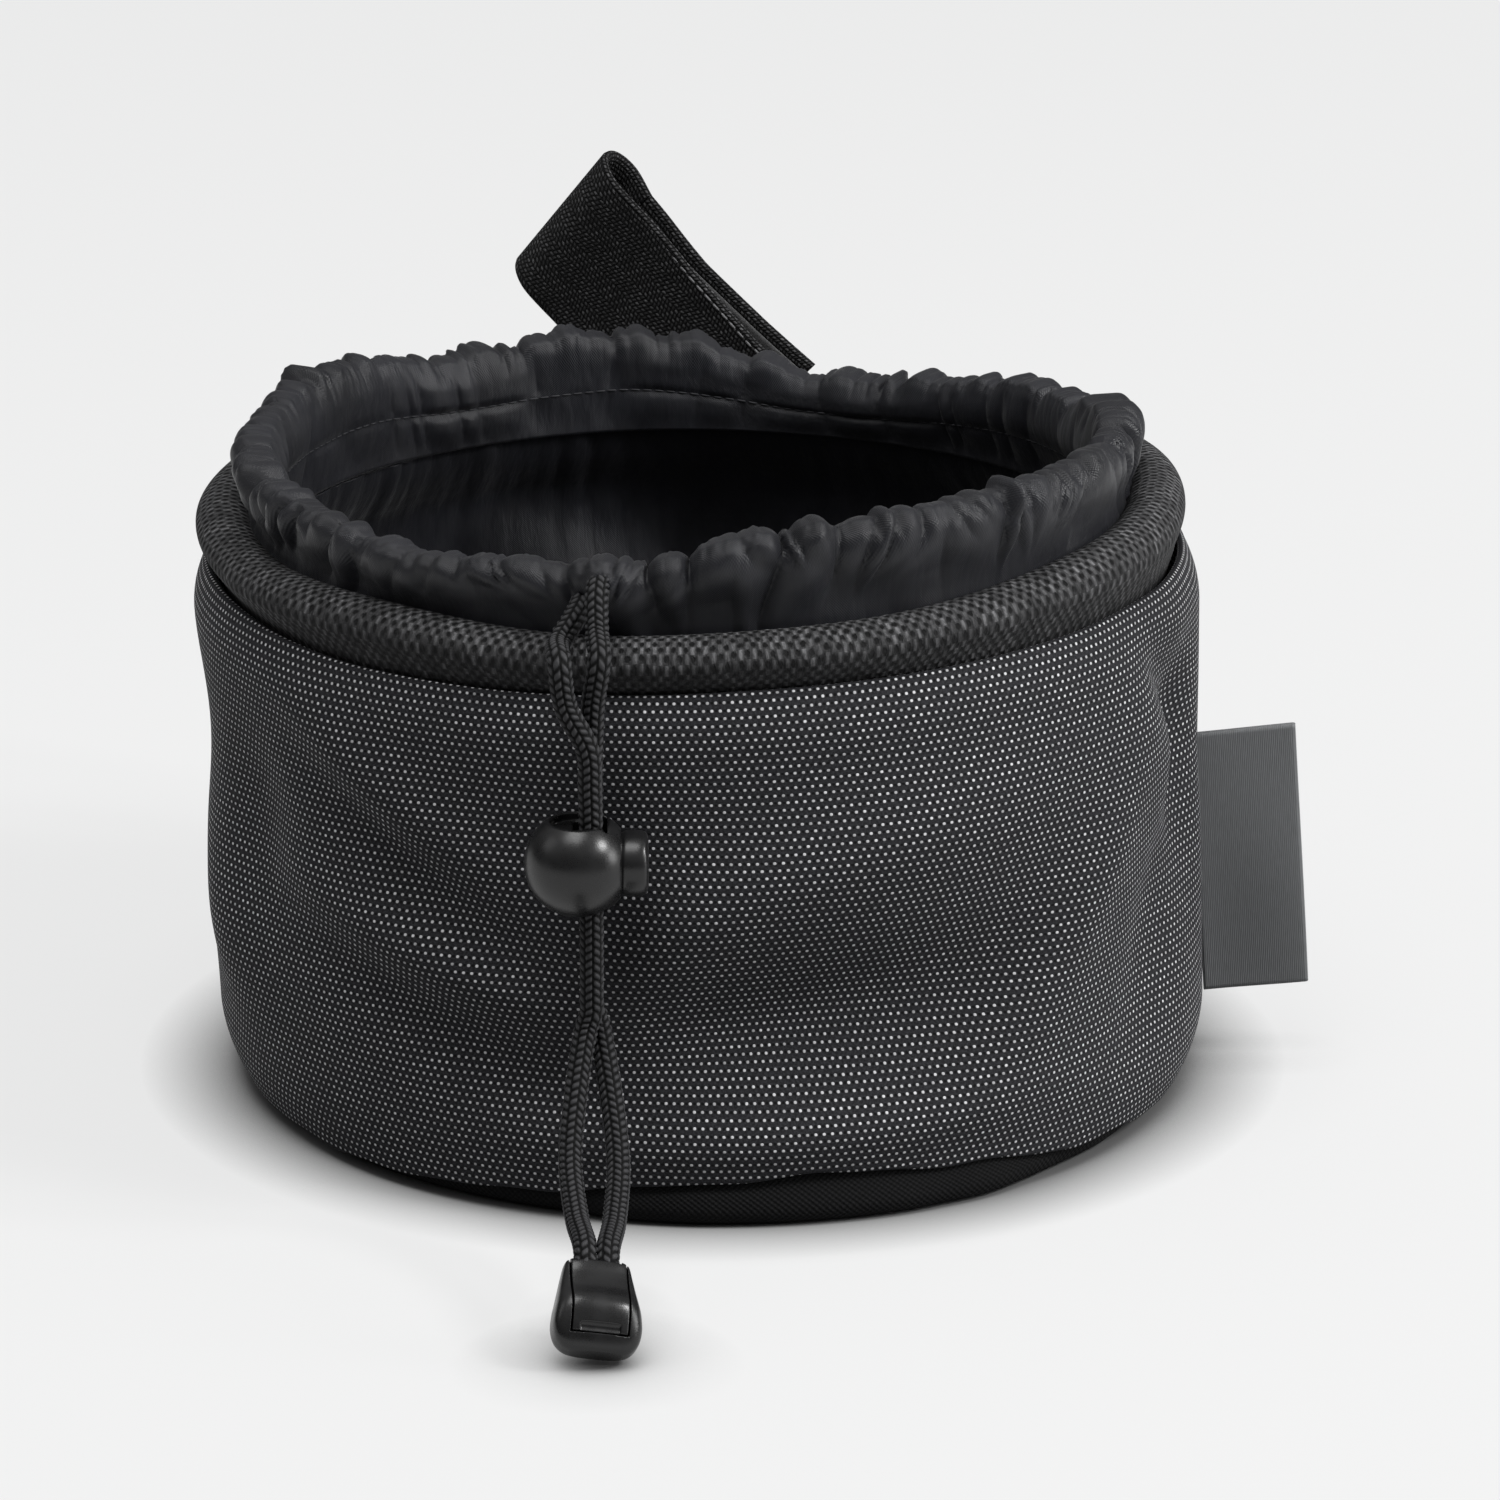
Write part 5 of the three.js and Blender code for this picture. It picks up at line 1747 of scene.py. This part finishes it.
class PEGBAG_OT_strap(bpy.types.Operator):
    """Build the hanging strap, its hook and loop patches and its stitching"""

    bl_idname = "pegbag.strap"
    bl_label = "Hanging strap"

    def execute(self, context):
        look = context.scene.peg_bag.rim
        thick, width = look.strap_thick, look.strap_width
        yarn = ("strap_webbing", look.webbing, look.webbing_yarn, 2.0, 0.22)
        webbing = finish("strap_webbing", woven_tape, *yarn)
        pile = finish("hook_and_loop", hook_pile, look)
        along, out, across, fold = strap_axes()
        leg = SEW_GAP + thick / 2
        hook = leg + thick / 2 + SEW_GAP
        patch = hook + TAPE_THICK + SEW_GAP
        flap = patch + TAPE_THICK + SEW_GAP + thick / 2
        middle = (leg + flap) / 2
        turn = np.radians(np.linspace(270, 90, 9))
        bend = np.stack([STRAP_LOOP + STRAP_LOOP * np.cos(turn), middle + STRAP_LOOP * np.sin(turn)], 1)
        join = (FLAP_START - 4 * MM, flap + STRAP_LOOP / 5)
        front = through(
            [
                (STRAP_HINGE + STRAP_ROOT, leg),
                (STRAP_HINGE + STRAP_ROOT / 2, leg),
                (STRAP_HINGE, leg),
                ((STRAP_HINGE + TAPE_START) / 2, leg),
                (TAPE_START, leg),
                (FLAP_START, leg - STRAP_LOOP / 8),
                *bend,
                join,
            ],
            200,
        )
        leg_piece = strap_strip("strap_leg_webbing", front, width, thick, webbing, LEG_DRIFT, wrap=True)
        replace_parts(leg_piece, "strap_front_leg", "strap_root")
        hinge = fold + along * STRAP_HINGE + out * leg
        start, end = hinge + along * SWING_BELOW, hinge - along * SWING_ABOVE
        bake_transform(leg_piece)
        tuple(start)
        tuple(end)
        swell = flap + STRAP_LOOP / 6
        rear = through([join, (FLAP_START, swell), (TAPE_START - 2 * MM, flap), (STRAP_FLAP, flap)], 90)
        start = float(run(front)[-1])
        flap_piece = strap_strip("strap_flap_webbing", rear, width, thick, webbing, FLAP_DRIFT, start)
        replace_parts(flap_piece, "strap_rear_flap")
        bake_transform(flap_piece)
        for name, node, body, long, depth, drift in (
            ("hook_patch_pile", "hook_patch", "strap", HOOK_LENGTH, hook, LEG_DRIFT),
            ("loop_patch_pile", "loop_patch", "strap_flap", PATCH_LENGTH, patch, FLAP_DRIFT),
        ):
            reach = np.linspace(TAPE_START, TAPE_START + long, 40)
            course = np.stack([reach, np.full(40, depth + TAPE_THICK / 2)], 1)
            piece = strap_strip(name, course, width - 2 * TAPE_INSET, TAPE_THICK, pile, drift)
            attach(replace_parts(piece, node), body)
        self.sew(look, leg, flap)
        return {"FINISHED"}

    def sew(self, look, leg, flap):
        """A row of stitches down the edge of the leg, and rows round the patch on the flap."""
        along, out, across, fold = strap_axes()
        thread = finish("pale_thread", sewing_thread, look.thread)
        edge = look.strap_width / 2 - SEW_INSET
        row = np.arange(FLAP_START - 6 * MM, STRAP_HINGE - 12 * MM, SEW_PITCH)
        places = [fold + along * l + out * (leg - look.strap_thick / 2) + across * edge for l in row]
        self.stitch("edge_stitching", "strap", places, [along] * len(row), -out, LEG_DRIFT, thread)
        edge = look.strap_width / 2 - TAPE_INSET - SEW_INSET
        outer = fold + out * (flap + look.strap_thick / 2)
        places, ways = [], []
        for l in np.arange(TAPE_START + SEW_PITCH / 2, TAPE_START + PATCH_LENGTH, SEW_PITCH):
            places += [outer + along * l + across * edge * side for side in (-1, 1)]
            ways += [along, along]
        for w in np.arange(-edge + SEW_INSET, edge - SEW_INSET / 2, SEW_PITCH):
            for l in (SEW_INSET, PATCH_LENGTH - SEW_INSET):
                places.append(outer + along * (TAPE_START + l) + across * w)
            ways += [across, across]
        self.stitch("patch_stitching", "strap_flap", places, ways, out, FLAP_DRIFT, thread)

    def stitch(self, name, body, places, ways, face, drift, thread):
        outs = np.tile(face, (len(places), 1))
        places = strap_set(np.array(places), drift)
        piece = stitch_row(name, places, np.array(ways), outs, *STRAP_SEWING, thread)
        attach(piece, body)


# Tag


TAG_WIDTH = 16.5 * MM
TAG_LEAF = 0.45 * MM
TAG_SLOPE = math.radians(4.0)
TAG_SEAM = 1.2 * MM
TAG_TUCK = 2.2 * MM
TAG_ROWS = 30
TAG_DROP = 0.8 * MM


class PEGBAG_OT_tag(bpy.types.Operator):
    """Build the folded side tag, left bare"""

    bl_idname = "pegbag.tag"
    bl_label = "Side tag"

    def execute(self, context):
        look = context.scene.peg_bag.rim
        low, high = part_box("side_tag")
        satin = finish("tag_fabric", tag_satin, look)
        gap = SEW_GAP / 2 + TAG_LEAF / 2
        bend = np.linspace(-np.pi / 2, np.pi / 2, 9)
        tip = TAG_WIDTH - gap
        front = np.stack([np.linspace(-TAG_SEAM, tip, TAG_ROWS), np.full(TAG_ROWS, -gap)], 1)
        fold = np.stack([tip + gap * np.cos(bend), gap * np.sin(bend)], 1)[1:-1]
        back = np.stack([np.linspace(tip, -TAG_SEAM, TAG_ROWS), np.full(TAG_ROWS, gap)], 1)
        course = np.vstack([front, fold, back])
        height = np.linspace(0, high.z - low.z - 0.4 * MM, 60)
        reach, depth = course[:, :1], course[:, 1:]
        x = reach + np.tan(TAG_SLOPE) * (height.max() - height) - TAG_TUCK
        ripple = 1.1 * np.sin(height * 95 + 0.6) + 0.8 * np.sin(height * 40)
        y = depth - smoothstep(0, TAG_WIDTH, reach) * MM * ripple
        z = low.z + height + 0.1 * reach - TAG_DROP
        points = joined(x + low.x, y, z)
        v = run(course)
        uv_u = np.concatenate([v, v[::-1], v[:1]])
        uv = joined(height[None, :], uv_u[:, None])
        loop = thickened(points, TAG_LEAF, False)
        loop, uv = loop.transpose(1, 0, 2), uv.transpose(1, 0, 2)
        tag = mesh_piece("side_tag_satin", loop, uv, satin, wrap_cols=True, capped=True)
        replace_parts(tag, "side_tag")
        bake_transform(tag)
        return {"FINISHED"}


# Stage


FLOOR_BOUNCE = 0.25
FLOOR_GLOW = 0.8
# reach of the painted contact shadow on the floor round the bag
PAINTED_SHADOW_REACH = 17.0 * MM
FLOOR_REACH = 6.0
SENSOR_WIDTH = 36.0
VIEW_DEPTH = 50.0
CAMERA_PLACE = (0, -1.2848, 0.4664)
CAMERA_TURN = math.radians(-0.325)
CAMERA_PITCH = math.radians(90 - 17.77)
CAMERA_ROLL = math.radians(0.13)
LIGHT_AIM = Vector((0, 0, 0.05))
LIGHTS = [
    # name, place, width in metres and power in watts
    ("key_light", (1.5, -0.55, 1.4), 0.5, 25.0),
    ("top_light", (-0.25, -0.5, 1.95), 1.0, 17.0),
    ("left_light", (-1.6, -0.2, 1.2), 0.8, 2.0),
    ("right_light", (1.9, -0.35, 0.55), 0.6, 10.5),
]


class PEGBAG_OT_stage(bpy.types.Operator):
    """Set the camera, the floor and the soft studio light"""

    bl_idname = "pegbag.stage"
    bl_label = "Stage"

    def execute(self, context):
        look = context.scene.peg_bag.stage
        self.camera(context, look)
        self.floor(look)
        self.light(context, look)
        context.scene.view_settings.view_transform = "Standard"
        return {"FINISHED"}

    def camera(self, context, look):
        data = bpy.data.cameras.new("photo_view")
        data.lens = look.lens
        data.sensor_width = SENSOR_WIDTH
        data.clip_end = VIEW_DEPTH
        camera = link(bpy.data.objects.new("photo_view", data))
        turn = Matrix.Rotation(CAMERA_TURN, 4, "Z")
        pitch = Matrix.Rotation(CAMERA_PITCH, 4, "X")
        roll = Matrix.Rotation(CAMERA_ROLL, 4, "Z")
        camera.matrix_world = Matrix.Translation(CAMERA_PLACE) @ turn @ pitch @ roll
        context.scene.camera = camera

    def floor(self, look):
        """Pale paper, which throws back less light at the bag than it shows; its glow is darkened near the
        bag as a painted contact shadow.
        """
        f = Finish("floor_paper")
        grain = f.noise(f.place(), 900.0, 2.0)
        paper = f.blend(grain, shade(look.floor, 0.995), tuple(look.floor))
        ray = f.nodes.new("ShaderNodeLightPath").outputs
        seen = f.math("MAXIMUM", ray["Is Camera Ray"], ray["Is Glossy Ray"])
        seen = f.math("MAXIMUM", seen, ray["Is Transmission Ray"])
        # painted shadow: ambient occlusion darkens the floor's glow where it nears the bag
        nook = f.nodes.new("ShaderNodeAmbientOcclusion")
        nook.inputs["Distance"].default_value = PAINTED_SHADOW_REACH
        painted_contact_shadow = f.ramp(nook.outputs["AO"], 0.35, 1.0, 0.0, 1.0, False)
        f.set(
            Base_Color=f.blend(seen, shade(look.floor, FLOOR_BOUNCE), shade(look.floor, 1 - FLOOR_GLOW)),
            Roughness=0.9,
            Specular_IOR_Level=0.0,
            Emission_Color=paper,
            Emission_Strength=f.times(f.times(seen, FLOOR_GLOW), painted_contact_shadow),
        )
        mesh = bpy.data.meshes.new("floor")
        corners = [(x * FLOOR_REACH, y * FLOOR_REACH, 0) for x, y in ((-1, -1), (1, -1), (1, 1), (-1, 1))]
        mesh.from_pydata(corners, [], [(0, 1, 2, 3)])
        mesh.materials.append(f.material)
        link(bpy.data.objects.new("floor", mesh))

    def light(self, context, look):
        world = bpy.data.worlds.new("studio")
        world.use_nodes = True
        nodes, links = world.node_tree.nodes, world.node_tree.links
        room = nodes["Background"]
        room.inputs["Color"].default_value = (1.0, 1.0, 1.0, 1.0)
        way = nodes.new("ShaderNodeTexCoord")
        split = nodes.new("ShaderNodeSeparateXYZ")
        links.new(way.outputs["Generated"], split.inputs[0])
        dome = nodes.new("ShaderNodeMapRange")
        dome.interpolation_type = "SMOOTHSTEP"
        for key, value in zip(("From Min", "To Min", "To Max"), (-0.1, look.horizon, look.zenith)):
            dome.inputs[key].default_value = value
        links.new(split.outputs["Z"], dome.inputs["Value"])
        links.new(dome.outputs[0], room.inputs["Strength"])
        context.scene.world = world
        for name, spot, wide, watts in LIGHTS:
            data = bpy.data.lights.new(name, "AREA")
            data.size = wide
            data.energy = watts
            lamp = link(bpy.data.objects.new(name, data))
            lamp.location = spot
            lamp.rotation_euler = (LIGHT_AIM - Vector(spot)).to_track_quat("-Z", "Y").to_euler()


OPERATORS = (
    PEGBAG_OT_stage,
    PEGBAG_OT_cords,
    PEGBAG_OT_drum,
    PEGBAG_OT_rim,
    PEGBAG_OT_collar,
    PEGBAG_OT_lock,
    PEGBAG_OT_cord_end,
    PEGBAG_OT_strap,
    PEGBAG_OT_tag,
)


class PEGBAG_PT_panel(bpy.types.Panel):
    """Lists the sizes, the colours and the building steps"""

    bl_idname = "PEGBAG_PT_panel"
    bl_label = "Peg bag"
    bl_space_type = "VIEW_3D"
    bl_region_type = "UI"
    bl_category = "Peg bag"

    def draw(self, context):
        settings = context.scene.peg_bag
        for group in (settings.drum, settings.rim, settings.cord, settings.stage):
            box = self.layout.box()
            for key in group.__annotations__:
                box.prop(group, key)
        for operator in OPERATORS:
            self.layout.operator(operator.bl_idname)


SETTINGS = (DrumSettings, RimSettings, CordSettings, StageSettings, PegBagSettings)
CLASSES = (*SETTINGS, *OPERATORS, PEGBAG_PT_panel)


def register():
    for cls in CLASSES:
        bpy.utils.register_class(cls)
    bpy.types.Scene.peg_bag = PointerProperty(type=PegBagSettings)


def unregister():
    del bpy.types.Scene.peg_bag
    for cls in reversed(CLASSES):
        bpy.utils.unregister_class(cls)


def main():
    register()
    for operator in OPERATORS:
        group, step = operator.bl_idname.split(".")
        getattr(getattr(bpy.ops, group), step)()


if __name__ == "__main__":
    main()
